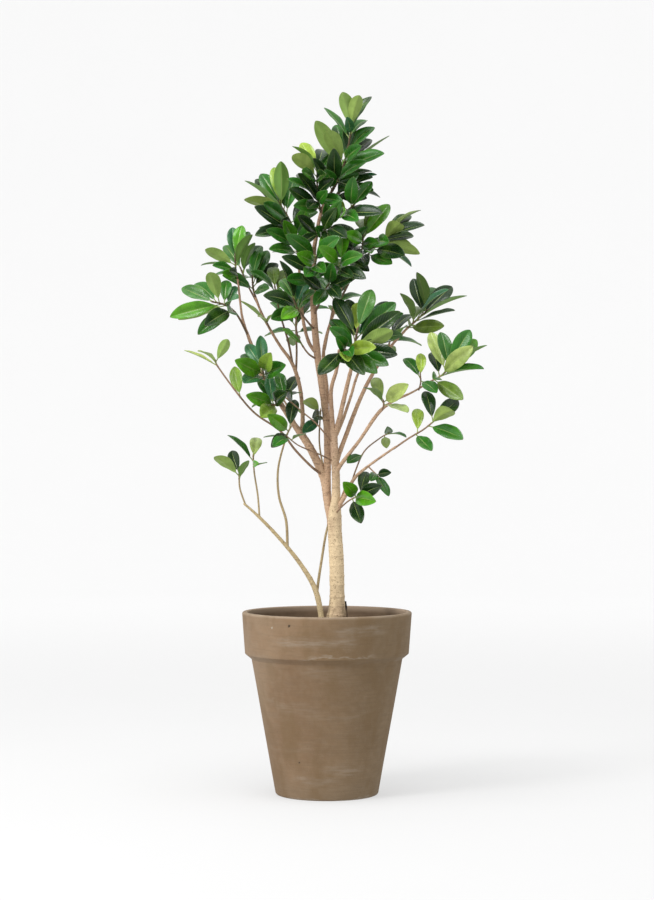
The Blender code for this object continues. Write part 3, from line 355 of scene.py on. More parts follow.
pot_outside, pot_inside = pot_outline()
pot = turned("clay_pot", pot_outside + pot_inside)
pot.data.materials.append(clay())
pot.data.materials.append(clay_inside())
for face in pot.data.polygons:
    middle = face.center
    outer = body_radius(middle.z)
    if middle.z > SHOULDER:
        outer = BAND_BOTTOM + BAND_TAPER * (middle.z - SHOULDER) / BAND_HEIGHT
    face.material_index = int(middle.z > 0.002 and middle.xy.length < outer - WALL * 0.6)
for vert in pot.data.vertices:
    outward = Vector((vert.co.x, vert.co.y, 0)).normalized()
    wave = noise.noise(Vector((outward.x * 1.3, outward.y * 1.3, vert.co.z * 9)))
    vert.co += outward * wave * UNEVENNESS
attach(pot, "root")
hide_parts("pot")


# ---- Drain net ---------------------------------------------------------------------------
# A small disc of black moulded plastic with seven round holes. It lies loose on the pot's
# floor and keeps the soil out of the drain hole.

def net_plastic():
    skin = Skin("net_plastic", 0.45)
    scuffs = skin.patchy(240, 3, 0.45, 0.7)
    skin.colour = skin.mixed((0.012, 0.012, 0.013), scuffs, (0.035, 0.034, 0.033))
    skin.bump(skin.grain(700, 2), 0.0002, 0.4)
    return skin.finished()


drain_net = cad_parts["drain_net"]
drain_net.data.materials.clear()
drain_net.data.materials.append(net_plastic())


# ---- Soil --------------------------------------------------------------------------------
# Moist, crumbly potting soil filled to a finger's breadth below the rim, heaped slightly at
# the trunk. Bits of bark and pale pumice lie loose in its surface.

SOIL_TOP = 0.278
SOIL_CROWN = 0.002
SOIL_GAP = 0.0006
NET_RADIUS = 0.030
NET_POCKET = 0.0026
SOIL_FLARE = 0.0028  # how far the pot's inside has widened at the soil's top
LEAST_CRUMB = 0.0009
MORE_CRUMB = 0.0016
SURFACE_STEPS = 70
CRUMBS = 1300
PUMICE_SHARE = 0.05
BARK_SHARE = 0.31
GOLDEN = 0.618034


def soil_section():
    """Half the soil's section: its surface in fine steps, then down the pot's inside."""
    brim = BAND_BOTTOM - WALL + SOIL_FLARE
    surface = [
        (brim * i / SURFACE_STEPS, SOIL_TOP + SOIL_CROWN * cos(pi / 2 * i / SURFACE_STEPS))
        for i in range(SURFACE_STEPS + 1)
    ]
    bottom = FLOOR_THICKNESS + 0.0003
    return surface + [
        (brim - SOIL_GAP, SOIL_TOP - 0.004),
        (BAND_BOTTOM - WALL - SOIL_GAP, SHOULDER + STEP_DROP),
        (body_radius(SHOULDER) - WALL - SOIL_GAP, SHOULDER),
        (body_radius(bottom) - WALL - SOIL_GAP, bottom),
        (NET_RADIUS + SOIL_GAP, bottom),
        (NET_RADIUS + SOIL_GAP, bottom + NET_POCKET),
        (0, bottom + NET_POCKET),
    ]


def crumb(shape, at, size, number):
    """Adds one uneven crumb to the shape."""
    axis = Vector((sin(number), cos(number * 2.3), sin(number * 0.7) + 0.2)).normalized()
    turn = Quaternion(axis, number * 1.7)
    for vert in bmesh.ops.create_icosphere(shape, subdivisions=2, radius=size)["verts"]:
        rough = 1 + 0.5 * noise.noise(vert.co * (1.1 / size) + Vector((number, 0, 0)))
        vert.co = at + turn @ (vert.co * rough * Vector((1, 0.8, 0.6)))


def soil_earth():
    skin = Skin("potting_soil", 0.95, 0.2)
    lumps = skin.patchy(120, 5, 0.4, 0.65)
    skin.colour = skin.mixed((0.016, 0.010, 0.006), lumps, (0.05, 0.031, 0.018))
    fibres = skin.patchy(300, 2, 0.66, 0.74, 0.0, 0.6, (1, 0.2, 1))
    skin.tint(fibres, (0.15, 0.095, 0.05))
    skin.bump(skin.grain(500, 5), 0.001, 0.7)
    return skin.finished()


def loose_bits(name, first, second):
    skin = Skin(name, 0.92, 0.25)
    skin.colour = skin.mixed(first, skin.patchy(220, 4, 0.4, 0.62), second)
    skin.bump(skin.grain(900, 3), 0.0003, 0.6)
    return skin.finished()


soil = turned("potting_soil", soil_section())
earth = bmesh.new()
earth.from_mesh(soil.data)
for vert in earth.verts:
    if vert.co.z > SOIL_TOP - 0.002:
        place_on = Vector((vert.co.x, vert.co.y, 0))
        coarse = noise.fractal(place_on * 45, 0.8, 2.1, 4)
        vert.co.z += 0.0022 * coarse - 0.001
        vert.co.xy *= 1 - 0.004 * abs(noise.noise(place_on * 90))
chance = random.Random(7)
grains = []
for number in range(CRUMBS):
    reach = (BAND_BOTTOM - WALL - 0.004) * sqrt((number + 0.5) / CRUMBS)
    angle = number * 2 * pi * GOLDEN + 0.5 * chance.random()
    size = LEAST_CRUMB + MORE_CRUMB * (number * GOLDEN * 7.3 % 1) ** 3
    at = Vector((reach * cos(angle), reach * sin(angle), SOIL_TOP + 0.0004))
    before = len(earth.faces)
    crumb(earth, at, size, number)
    luck = chance.random()
    kind = 2 if luck < PUMICE_SHARE else 1 if luck < PUMICE_SHARE + BARK_SHARE else 0
    grains.append((before, kind))
earth.faces.ensure_lookup_table()
for (start, kind), (stop, _) in zip(grains, [*grains[1:], (len(earth.faces), 0)]):
    for index in range(start, stop):
        earth.faces[index].material_index = kind
        earth.faces[index].smooth = True
earth.to_mesh(soil.data)
earth.free()
soil.data.materials.append(soil_earth())
soil.data.materials.append(loose_bits("bark_chips", (0.055, 0.028, 0.013), (0.12, 0.065, 0.032)))
soil.data.materials.append(loose_bits("pumice", (0.32, 0.28, 0.22), (0.5, 0.46, 0.4)))
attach(soil, "root")
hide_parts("soil")


# ---- Woody stems -------------------------------------------------------------------------
# The trunk and its limbs, grown as one plant: pale beige, finely pitted bark below, pinkish
# brown bark above, rings where leaves once sat, and healed knots where twigs were cut off.

BACK = 0.011875  # metres to the back for each step of a route's second number
STEMS = {
    "trunk": [
        (1.3, 0.2, 20.5, 0.9), (1.5, 0, 27.8, 1.75), (1.7, 0, 32.5, 1.28), (1.6, 0, 39.2, 1.23),
        (1.35, 0, 43.5, 1.18), (1.3, -0.1, 46.6, 1.1), (1.5, -0.5, 49.8, 0.76), (1.5, -0.6, 53, 0.67),
        (1.3, -0.7, 57, 0.66), (1.1, -0.8, 60.7, 0.62),
    ],
    "rear_leader": [
        (0.9, 0.3, 45.2, 0.7), (0.1, 1, 49.3, 0.72), (-0.1, 1.3, 52.7, 0.74), (0.1, 1.5, 57, 0.6),
        (-0.1, 1.6, 62.7, 0.6), (-0.9, 1.7, 68.6, 0.54), (-1.6, 1.6, 73.7, 0.6),
        (-2.2, 1.4, 80.4, 0.54), (-2.4, 1.2, 86.3, 0.45), (-2.1, 1, 92, 0.36), (-0.9, 0.6, 98, 0.3),
        (0.4, 0.3, 100.5, 0.28),
    ],
    "left_limb": [
        (-0.1, 1.3, 51, 0.6), (-0.9, 1.3, 54, 0.7), (-3.1, 0.8, 58.5, 0.66), (-6, 0, 62.7, 0.48),
        (-8.7, -0.8, 67, 0.42), (-11, -1.2, 70.3, 0.38), (-12.7, -1, 75.4, 0.3),
        (-14.2, -0.2, 79.9, 0.21), (-15, 0.8, 86.3, 0.17),
    ],
    "left_upper_branch": [
        (-4.5, 0.4, 60.4, 0.4), (-4.1, 1.4, 62.7, 0.36), (-4.5, 2.6, 67.8, 0.33),
        (-5.8, 3.4, 72.2, 0.31), (-8.3, 4.2, 75.9, 0.25), (-11, 5, 80.7, 0.22),
        (-12.4, 5.4, 84.3, 0.2),
    ],
    "upper_left_branch": [
        (-1.7, 1.5, 74, 0.34), (-3.1, 2.2, 76, 0.3), (-4.1, 3, 80.1, 0.27), (-4.6, 3.8, 86.3, 0.24),
        (-4.8, 4.1, 90, 0.22),
    ],
    "side_stem": [
        (-0.5, -1.4, 22, 0.35), (-0.8, -1.4, 28.3, 0.46), (-1.9, -1.5, 34.2, 0.45),
        (-4.6, -2, 38.9, 0.36), (-8, -2.8, 43.1, 0.3), (-11.3, -3.8, 46.6, 0.25),
        (-13.7, -4.6, 48.8, 0.18),
    ],
    "front_leader": [
        (1.1, -0.8, 60, 0.45), (0.8, -1.3, 63.6, 0.4), (0.7, -1.8, 67.8, 0.34), (1.6, -3, 71.1, 0.3),
        (2, -4.2, 74.2, 0.25),
    ],
    "front_branch": [
        (1.2, -0.8, 60.2, 0.42), (2.1, -1.3, 63.1, 0.4), (3.2, -2.4, 67.8, 0.36), (4.1, -4, 71.5, 0.3),
    ],
    "back_branch": [
        (1.3, -0.6, 59.6, 0.3), (2.7, 0.5, 62.9, 0.28), (4.1, 1.6, 67, 0.24), (5, 2.6, 70, 0.22),
        (6.5, 4, 73.3, 0.18),
    ],
    "right_upper_branch": [
        (1.4, -0.6, 55.4, 0.42), (3.1, 0.4, 59.9, 0.38), (4.8, 1.6, 64.4, 0.35),
        (6.5, 2.6, 68.3, 0.32), (8.5, 3.6, 71.8, 0.28), (11, 4.6, 75.5, 0.24), (13.7, 5.4, 78.5, 0.2),
    ],
    "right_limb": [
        (1.5, -0.7, 54, 0.36), (2.8, -1.5, 55.9, 0.32), (5.5, -2, 59.4, 0.28), (8.5, -2.6, 63.8, 0.3),
        (11, -3.2, 65.8, 0.21), (14.2, -4, 67.3, 0.17), (17.2, -4.6, 69.1, 0.16),
    ],
    "right_low_branch": [
        (1.5, -0.3, 47.6, 0.38), (2.8, -1.3, 49.6, 0.34), (4.6, -2.4, 53, 0.27),
        (7.1, -3.6, 55.2, 0.21), (11.3, -5.6, 58.2, 0.18),
    ],
    "crown_stem": [
        (0.1, 1.6, 56.2, 0.34), (0.4, 2.7, 59.4, 0.35), (0, 3.1, 64.4, 0.35), (-0.1, 3.4, 68.6, 0.36),
        (-0.6, 3.8, 72.8, 0.3), (-0.3, 4.2, 76.2, 0.27), (0.9, 4.6, 80.4, 0.25),
        (2.3, 4.2, 84.9, 0.22), (3.3, 3.2, 89, 0.18),
    ],
    "cut_stub": [
        (1.6, 0.2, 47.6, 0.28), (2.5, 1, 49.6, 0.27), (3.2, 1.4, 51.5, 0.24),
    ],
    "pruned_sucker": [
        (3.2, -0.9, 25.5, 0.2), (3.3, -1, 29.8, 0.19), (3.1, -1.1, 32.4, 0.13),
    ],
}
KNOTS = [
    (0.25, -1.2, 40.6, 0.34), (0.2, -0.9, 46.5, 0.3), (1.2, -1.3, 55.5, 0.24),
    (2.7, -0.4, 36.4, 0.22),
]
SCAR_SPACING = 0.017
SCAR_BREADTH = 0.0011
THICK_STEM = 0.007
DOME_HEIGHT = 0.8


def place(x, y, z):
    return Vector((x * 0.01, y * BACK, z * 0.01))


def smooth_route(points, steps):
    """Points on a smooth curve through the given ones, which hold any number of values."""
    ends = [points[0], *points, points[-1]]
    route = []
    for before, start, stop, after in zip(ends, ends[1:], ends[2:], ends[3:]):
        for step in range(steps):
            t = step / steps
            route.append([
                0.5 * (2 * b + (c - a) * t + (2 * a - 5 * b + 4 * c - d) * t * t
                       + (3 * b - a - 3 * c + d) * t ** 3)
                for a, b, c, d in zip(before, start, stop, after)
            ])
    return [*route, list(points[-1])]


def evened(route, radii, spacing):
    """The route and its radii at even steps, with the distance of each step from the start."""
    far = [0.0]
    for start, stop in zip(route, route[1:]):
        far.append(far[-1] + (stop - start).length)
    count = max(2, round(far[-1] / spacing))
    rows, piece = [], 0
    for step in range(count + 1):
        at = far[-1] * step / count
        while piece < len(far) - 2 and far[piece + 1] < at:
            piece += 1
        share = (at - far[piece]) / (far[piece + 1] - far[piece])
        girth = radii[piece] + (radii[piece + 1] - radii[piece]) * share
        rows.append((route[piece].lerp(route[piece + 1], share), girth, at))
    return rows


def swept(shape, rows, sides):
    """Adds a closed tube to the shape, with one ring for each (point, radius, distance), and
    returns its faces."""
    rings, side = [], None
    for number, (at, radius, _) in enumerate(rows):
        ahead = rows[min(number + 1, len(rows) - 1)][0] - rows[max(number - 1, 0)][0]
        ahead.normalize()
        side = (
            (side - ahead * side.dot(ahead)).normalized() if side
            else ahead.orthogonal().normalized())
        other = ahead.cross(side)
        turns = [2 * pi * i / sides for i in range(sides)]
        rings.append([
            shape.verts.new(at + (side * cos(t) + other * sin(t)) * radius) for t in turns])
    faces = [shape.faces.new(reversed(rings[0])), shape.faces.new(rings[-1])]
    for low, high in zip(rings, rings[1:]):
        for i in range(sides):
            j = (i + 1) % sides
            faces.append(shape.faces.new((low[i], low[j], high[j], high[i])))
    return faces


def domed(rows):
    """The rows with a rounded end instead of a flat one."""
    at, radius, far = rows[-1]
    ahead = (at - rows[-2][0]).normalized()
    turns = [radians(22 * i) for i in range(1, 5)]
    rise = ahead * radius * DOME_HEIGHT
    return rows + [(at + rise * sin(t), radius * cos(t), far) for t in turns]


def bark_girth(radius, far, seed):
    """The radius with its rings of old leaf scars and the collar at its foot."""
    ring = (far / SCAR_SPACING + 0.45 * noise.noise(Vector((far * 45, seed, 0)))) % 1 - 0.5
    rise = 0.05 if radius > THICK_STEM else 0.08
    scar = rise * exp(-((ring * SCAR_SPACING / SCAR_BREADTH) ** 2))
    collar = 0.35 * exp(-far / (radius * 0.9))
    return radius * (1 + scar + collar)


def worn(verts, size):
    """Moves a stem's skin in and out by small lengthwise ridges and lumps."""
    for vert in verts:
        at = Vector((vert.co.x, vert.co.y, vert.co.z * 0.35))
        vert.co += vert.normal * size * (noise.noise(at * 260) + 0.8 * noise.noise(vert.co * 70))


def knotted(verts):
    """Raises a healed ring with a sunk middle round each knot."""
    for x, y, z, width in KNOTS:
        middle, width = place(x, y, z), width * 0.01
        for vert in verts:
            reach = (vert.co - middle).length
            if reach < width * 2.5:
                ring = exp(-(((reach - width) / (width * 0.35)) ** 2))
                vert.co += vert.normal * (
                    0.0009 * ring - 0.0007 * exp(-((reach / (width * 0.6)) ** 2)))


def bark(name, foot, upper, dark, low, high):
    """Bark that changes from one colour to another on the way up, with pits and dark rings."""
    skin = Skin(name, 0.74, 0.3)
    skin.colour = skin.mixed(foot, skin.ranged(skin.height, low, high), upper)
    shade = tuple(0.35 * a + 0.65 * b for a, b in zip(dark, upper))
    skin.tint(skin.patchy(38, 5, 0.42, 0.68, 0.0, 0.55, (1, 1, 0.5)), shade)
    skin.tint(skin.patchy(75, 3, 0.56, 0.7, 0.0, 0.5, (0.7, 0.7, 4.5)), dark)
    skin.tint(skin.patchy(380, 2, 0.57, 0.68, 0.0, 0.8, (1, 1, 1.7)), dark)
    light = tuple(min(1, value * 1.5 + 0.03) for value in foot)
    skin.tint(skin.patchy(330, 1, 0.66, 0.74, 0.0, 0.5, (1, 1, 2), (7, 1, 3)), light)
    skin.bump(skin.grain(70, 3, (1, 1, 5)), 0.0006, 0.5)
    skin.bump(skin.grain(450, 3), 0.0004, 0.55)
    return skin.finished()


def finished(name, shape, materials, replaced):
    """Makes the shape a piece of the plant that stands in for a node of the model."""
    shape.normal_update()
    mesh = bpy.data.meshes.new(name)
    shape.to_mesh(mesh)
    shape.free()
    for looks in materials:
        mesh.materials.append(looks)
    mesh.shade_smooth()
    piece = bpy.data.objects.new(name, mesh)
    bpy.context.scene.collection.objects.link(piece)
    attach(piece, "root")
    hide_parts(replaced)


pale_bark = bark(
    "trunk_bark", (0.66, 0.51, 0.315), (0.46, 0.31, 0.205), (0.13, 0.07, 0.03), 0.46, 0.58)
young_bark = bark(
    "side_bark", (0.60, 0.47, 0.27), (0.50, 0.39, 0.21), (0.13, 0.08, 0.04), 0.3, 0.45)
dead_bark = bark(
    "dead_bark", (0.20, 0.13, 0.075), (0.012, 0.009, 0.007), (0.02, 0.012, 0.008), 0.306, 0.314)
pink_bark = bark(
    "branch_bark", (0.52, 0.35, 0.225), (0.36, 0.22, 0.145), (0.075, 0.04, 0.024), 0.5, 0.9)
BARKS = {
    "trunk": (pale_bark, "trunk_bark"),
    "side_stem": (young_bark, "trunk_bark"),
    "pruned_sucker": (dead_bark, "dead_wood"),
}
SAWN_OFF = ("cut_stub", "pruned_sucker")
KNOTTED = ("trunk", "rear_leader")
for seed, (name, points) in enumerate(STEMS.items()):
    rows = smooth_route(points, 8)
    route = [place(*row[:3]) for row in rows]
    row_spacing, sides = (0.0014, 64) if name == "trunk" else (0.0018, 28)
    rows = evened(route, [row[3] * 0.01 for row in rows], row_spacing)
    rows = [(at, bark_girth(radius, far, seed), far) for at, radius, far in rows]
    if name not in SAWN_OFF:
        rows = domed(rows)
    wood = bmesh.new()
    swept(wood, rows, sides)
    wood.normal_update()
    worn(wood.verts, rows[0][1] * 0.045)
    if name in KNOTTED:
        wood.normal_update()
        knotted(wood.verts)
    looks, slot_name = BARKS.get(name, (pink_bark, "branch_bark"))
    finished(f"{name}_wood", wood, [looks], name)


# ---- Leafy shoots ------------------------------------------------------------------------
# The youngest growth: thin brown twigs that end in a pointed bud, with whorls of leathery
# leaves on short stalks. Blades are glossy above, paler and duller below, folded along a pale
# midrib.

# Each shoot: its twig's route, its thickness at both ends in centimetres, and its whorls. A
# whorl: its share of the way along the twig, the tone of each leaf, and each leaf's tip as seen
# from the whorl, with how far its upper face turns to the front.
SHOOTS = {
    "apex_shoot": (
        [
            (0.4, 0.3, 100.5), (2.1, -0.2, 103.6), (3.1, -0.6, 106.4), (3.8, -0.9, 109.8),
            (4.1, -1, 112.1),
        ],
        (0.25, 0.13),
        [
            (0.3, "DGDGDDG", [
                (-4.5, -3.5, 2.5, 0.6), (-2.5, -5, 0.5, 0.8), (-1, -5, 4, 0.7), (4.5, -3.5, 2, 0.6),
                (3, -5, -2.5, 0.8), (5.5, 2, 1, 0.3), (-4, 4, 2, 0.5),
            ]),
            (0.62, "DGGPDPGGGD", [
                (7.2, 0.5, 3, 0.1), (-4.3, 5, -1, 0.3), (5.2, -4.5, 0.8, 0.6), (-5.2, -3, 5, -0.7),
                (4.2, 5, 3, 0.5), (-3.4, -5.5, 3, -0.7), (2.4, -6, 0.4, 0.7), (-1.8, 4.5, 5.4, 0.6),
                (4.7, 3, 4.8, 0.5), (1, 3.5, 5.4, 0.5),
            ]),
            (1, "GGTDLL", [
                (-4.6, 3, 3.4, 0.1), (2.6, 4.5, 1.5, 0.3), (-0.8, -4.2, 0.8, 0.8),
                (3.4, 2.5, 5.2, 0.3), (-1.5, -4.2, 4.9, -0.6), (1, -4.2, 4.9, -0.6),
            ]),
        ],
    ),
    "apex_left_shoot": (
        [
            (-1, 0.6, 97.4), (-1.6, -0.6, 101), (-1.6, -1.6, 105.1),
        ],
        (0.19, 0.13),
        [
            (0.3, "DGDGD", [
                (-5, -4, 1.5, 0.7), (-4.2, -4.8, -1.5, 0.8), (-3.5, -4, 4, 0.6), (1.5, -5.5, 1, 0.8),
                (3.6, -4.6, -1.5, 0.7),
            ]),
            (0.55, "DGGDDD", [
                (-2.8, -5, -3.6, 0.7), (3, -5, -3.6, 0.8), (-4.6, -4, 0.6, 0.5), (4.2, -5, 0.6, 0.7),
                (-3.4, 5, 3, 0.5), (2.6, 5, 3.4, 0.5),
            ]),
            (1, "GDPGGYD", [
                (-2.6, -5.5, -1.5, 0.6), (1.5, -5.5, -2, 0.8), (-4, -5, 1.3, -0.6), (3, 4.5, 3, 0.4),
                (-3.4, -4.8, 2.5, 0.1), (-2.7, 4, 4.5, 0.7), (0.3, 5, 4.6, 0.6),
            ]),
        ],
    ),
    "leader_right_shoot": (
        [
            (0.1, 0.35, 99.8), (2.4, 1.9, 101.4), (4.1, 2.9, 103.2),
        ],
        (0.19, 0.13),
        [
            (0.5, "DGDD", [
                (4.5, -4, -1.5, 0.7), (3, -5.2, 2.4, 0.8), (-1, -5.6, -2, 0.8), (5.2, -2.4, 3, 0.5),
            ]),
            (1, "DDGDTDGB", [
                (-3, -5.4, -2.6, 0.8), (5, 2, -2.5, 0.4), (3.4, -5, -2, 0.7), (-4.4, 3.6, 1.6, 0.4),
                (3.8, -4, 1, 0.4), (3.6, 5, 1.5, 0.5), (1.5, 4, 5, 0.5), (-0.8, 4.5, 4.5, 0.7),
            ]),
        ],
    ),
    "leader_mid_shoot": (
        [
            (-1.9, 0.9, 93.4), (1.2, -1, 96), (4.2, -2.4, 98.3),
        ],
        (0.19, 0.13),
        [
            (0.25, "DGDD", [
                (-4.5, -4, 2, 0.7), (-1.5, -5.5, 0, 0.8), (-4, -3.6, -3.5, 0.6), (2, -5.5, 3.2, 0.8),
            ]),
            (0.5, "DDGGD", [
                (-1.6, -5, -4, 0.8), (2.4, -5, -4, 0.7), (-4, -5, 1.4, 0.8), (1, -5.6, 2.6, 0.8),
                (-2.4, 5, 3.6, 0.5),
            ]),
            (1, "BGDDYGG", [
                (-3, -5, -2.5, 0.7), (1, -5.5, -3, 0.8), (5, -3.5, -1.5, 0.6), (3.8, 5, -0.6, 0.4),
                (-2.5, 4, 3.5, 0.7), (2.7, 4.5, 4.2, 0.7), (0.2, -5, 4.4, 0.6),
            ]),
        ],
    ),
    "crown_right_inner_shoot": (
        [
            (4.9, 2.6, 88), (5.9, 2, 91.6), (6.1, 1.5, 94.3),
        ],
        (0.17, 0.13),
        [
            (0.45, "DGD", [
                (-4, -4.8, 0.5, 0.8), (4.2, 3, 3, 0.5), (1, -6, -2.5, 0.8),
            ]),
            (1, "DGDBBOO", [
                (-1.4, -5, -4, 0.8), (2.5, -5.5, -2, 0.8), (-4.8, 3.6, 1.8, 0.4),
                (-3.2, -5.5, -0.5, 0.9), (4.5, 3, 5.2, 0.7), (3.2, 4.8, 5, 0.6), (0.3, 5, 4, 0.6),
            ]),
        ],
    ),
    "crown_right_shoot": (
        [
            (1.4, 4.5, 81.7), (3.1, 3.6, 84.9), (4.7, 2.6, 87.8), (7.2, 1.2, 91), (10.2, -1, 93.8),
        ],
        (0.22, 0.13),
        [
            (0.72, "GB", [
                (3.5, -5, -2.5, 0.7), (-3, -5.5, 1, 0.8),
            ]),
            (1, "DPTGPDPDDO", [
                (2.7, -4.5, -3.9, 0.8), (5.5, 3, -3, -0.5), (3.9, -1, -5.5, 0.1),
                (-0.3, -6, -2.4, 0.8), (4.5, 4, -2.5, -0.6), (4.5, 5, -0.8, 0.6), (2, -6, 1.2, -0.5),
                (5.5, -3.5, 1.8, 0.5), (4, 4, 3.6, 0.6), (5.5, 3, 4, 0.1),
            ]),
        ],
    ),
    "crown_inner_shoot": (
        [
            (3.2, 3.3, 88.5), (3.5, 3, 90), (3.6, 2.8, 91.8),
        ],
        (0.16, 0.13),
        [
            (1, "BDGDGBDG", [
                (-2.5, -5, -3.5, 0.9), (4, -4, -3.5, 0.7), (-4.5, -4, 1.5, 0.8), (2, 5.5, 1, 0.3),
                (3, 4.5, 4, 0.5), (-1.5, 4.5, 4.5, 0.6), (0.5, -6, -1, 0.9), (5, -3, 2, 0.6),
            ]),
        ],
    ),
    "crown_front_shoot": (
        [
            (-2.2, 1.3, 80.4), (-0.8, -0.6, 83.4), (0.6, -2.4, 86), (2.4, -4, 89),
        ],
        (0.2, 0.13),
        [
            (0.6, "DDGDG", [
                (-4.5, -4, 1, 0.7), (4.8, -4, 1, 0.7), (-2.5, -5, -4, 0.9), (2, -5.5, -3, 0.8),
                (0.5, -5.5, 3, 0.8),
            ]),
            (1, "DDDGBB", [
                (-2.5, -4.5, -4, 0.9), (4, -4, -3.2, 0.7), (-0.8, -5.5, -3.5, 0.8),
                (3.5, -5.5, 0.5, 0.7), (-3.8, -5, 2, 0.8), (1, 4, 5, 0.6),
            ]),
        ],
    ),
    "crown_left_shoot": (
        [
            (-2.4, 1.2, 84.2), (-2.1, -1, 88), (-1.6, -2.6, 90.4),
        ],
        (0.2, 0.13),
        [
            (0.5, "GGDD", [
                (-4.6, -4.6, -1.4, 0.8), (4, -4.8, 0.8, 0.7), (-3.6, 5, 2.8, 0.4),
                (-5.4, -3, 2.5, 0.7),
            ]),
            (1, "GGBGGDB", [
                (-2, -5, -4.2, 0.9), (2, -5, -3.5, 0.8), (-3.4, -5.5, -0.5, 0.9), (3.5, -5.5, 2, 0.7),
                (-5.2, -4, 2.8, 0.9), (-4, 5, 2, 0.5), (1, 5, 4.5, 0.6),
            ]),
        ],
    ),
    "upper_left_shoot": (
        [
            (-4.8, 4.1, 89.8), (-5.3, 4.3, 93), (-6.3, 4.6, 96.7), (-8.1, 4.8, 99.7),
        ],
        (0.2, 0.13),
        [
            (0.3, "BGDGGB", [
                (3.5, -4.5, -2.5, 0.8), (-4.5, -5, -1.5, 0.6), (-4, 5, -1, 0.5), (3.2, -5, 3, 0.8),
                (-5, -4.5, 1.8, 0.7), (-2, -5.5, 3.3, 0.8),
            ]),
            (0.66, "GTDDDDG", [
                (3, -5, 2, 0.8), (-5.4, 3, -0.8, 0.1), (-6, -3.5, 2.2, 0.7), (2.8, 4.5, 4, 0.5),
                (-5.6, -4, -2.4, 0.7), (-1, -6, -0.5, 0.9), (4.6, -4.2, 0.6, 0.7),
            ]),
            (1, "GPTGDWGGY", [
                (-3.9, -5.5, -1.7, 0.7), (-5.9, -4, 0.3, -0.4), (-5.9, -2, 3.7, 0.1),
                (2.6, 4.5, 5, 0.6), (-4.2, 3.5, 4.6, 0.6), (1, 5, 5, 0.7), (-2.9, 4, 5.5, 0.7),
                (0.3, -2, 7, 0.1), (-1, 3, 6.6, 0.7),
            ]),
        ],
    ),
    "left_tip_shoot": (
        [
            (-14.9, 0.7, 85.8), (-15.4, 1.2, 88.3), (-15.5, 1.4, 90.3),
        ],
        (0.15, 0.12),
        [
            (1, "BDGGGPGTB", [
                (-2, -4.6, -3, 0.9), (-0.8, -5, -2.8, 0.7), (-3.2, -4.6, -2.2, 0.6),
                (-5.9, 2, -1.3, 0.1), (3, -4, 3.4, 0.1), (-4.9, -3, 1, -0.6), (2.2, 3.6, 4.6, 0.5),
                (-0.8, 3.6, 4.9, 0.6), (0.9, 4, 5, 0.6),
            ]),
        ],
    ),
    "left_rear_shoot": (
        [
            (-11.6, 5.2, 82.2), (-13.6, 6.9, 86), (-14.8, 7.6, 88.8),
        ],
        (0.17, 0.13),
        [
            (1, "GGGDG", [
                (1.5, 6.5, -1, 0.2), (-5.2, 3, -1, 0.3), (2.5, -4, 4.2, 0.2), (3.4, 4, 4.4, 0.5),
                (-3, 4.5, 4.5, 0.5),
            ]),
        ],
    ),
    "left_upper_shoot": (
        [
            (-12.3, 5.3, 83.9), (-12.6, 4.4, 85.4), (-12.7, 4, 86.8),
        ],
        (0.17, 0.13),
        [
            (1, "GGDGGG", [
                (3, -5, -2, 0.6), (-4, -5, 1, 0.6), (4.2, 4.5, 3, 0.6), (2.5, 4, 5.2, 0.6),
                (0.2, 3.5, 5.8, 0.1), (0.8, 5, 4.4, 0.7),
            ]),
        ],
    ),
    "far_left_shoot": (
        [
            (-13.2, -0.7, 76.8), (-14.9, -2, 80.1), (-16.7, -3.4, 81.7), (-18.7, -4.4, 82.2),
        ],
        (0.2, 0.13),
        [
            (1, "GGDTTPGBPGW", [
                (2.6, -5.2, -2, 0.8), (-2.6, -2, -5.5, 0.6), (-1.3, -5, -4.2, 0.8),
                (4.2, -4.8, 0.3, 0.4), (3.4, 4.5, 3, 0.6), (-6.2, 3.5, -2.7, -0.5), (1.8, 5, 4, 0.7),
                (-7.2, -2, -2.6, 0.7), (-0.5, -4.5, 4.6, -0.7), (-3.5, 5, 3.4, 0.6),
                (-5.6, 3.5, 2.6, 0.7),
            ]),
        ],
    ),
    "left_mid_shoot": (
        [
            (-5.8, 3.4, 72), (-6.6, 3.2, 76.2), (-8, 3, 80.9), (-8.8, 2.8, 85.1),
        ],
        (0.21, 0.13),
        [
            (1, "GGOO", [
                (1.5, -5.5, -1, 0.7), (-4, -4.5, 2.5, 0.5), (2.3, 5, 3.4, 0.7), (-0.9, 4.8, 4, 0.7),
            ]),
        ],
    ),
    "inner_left_shoot": (
        [
            (-2.1, 1.4, 78), (-3.4, -0.4, 79.4), (-4.8, -2, 81.2), (-5.5, -3, 82.6),
        ],
        (0.19, 0.13),
        [
            (1, "GDBDTDW", [
                (-3.7, -4.5, -3.4, 0.7), (3.6, -5, 1, 0.5), (-2, -5.5, -3.4, 0.8),
                (-5, -4.5, 0.5, 0.7), (3.8, 4, 4.8, 0.7), (-2.4, 2, 6.8, 0.1), (-1.2, 4.5, 5, 0.7),
            ]),
        ],
    ),
    "inner_left_twig": (
        [
            (-1.7, 1.6, 73), (-3.4, 0.4, 74.2), (-5, 0.4, 77.2), (-5.2, 0.8, 81),
        ],
        (0.17, 0.12),
        [
            (0.4, "B", [
                (-3.4, -3.5, 2.4, 0.5),
            ]),
            (1, "GG", [
                (-3, 4.5, 3.5, 0.5), (2, 5, 3.5, 0.5),
            ]),
        ],
    ),
    "left_twiglet": (
        [
            (-9.8, 4.7, 78.4), (-10, 3.6, 78.9), (-10.2, 2.4, 79.3),
        ],
        (0.14, 0.1),
        [
            (1, "PPP", [
                (-4.6, -2, 3.6, 0.1), (-1.4, -3, 0.8, 0.3), (1, -3.2, 1, 0.3),
            ]),
        ],
    ),
    "left_low_branch": (
        [
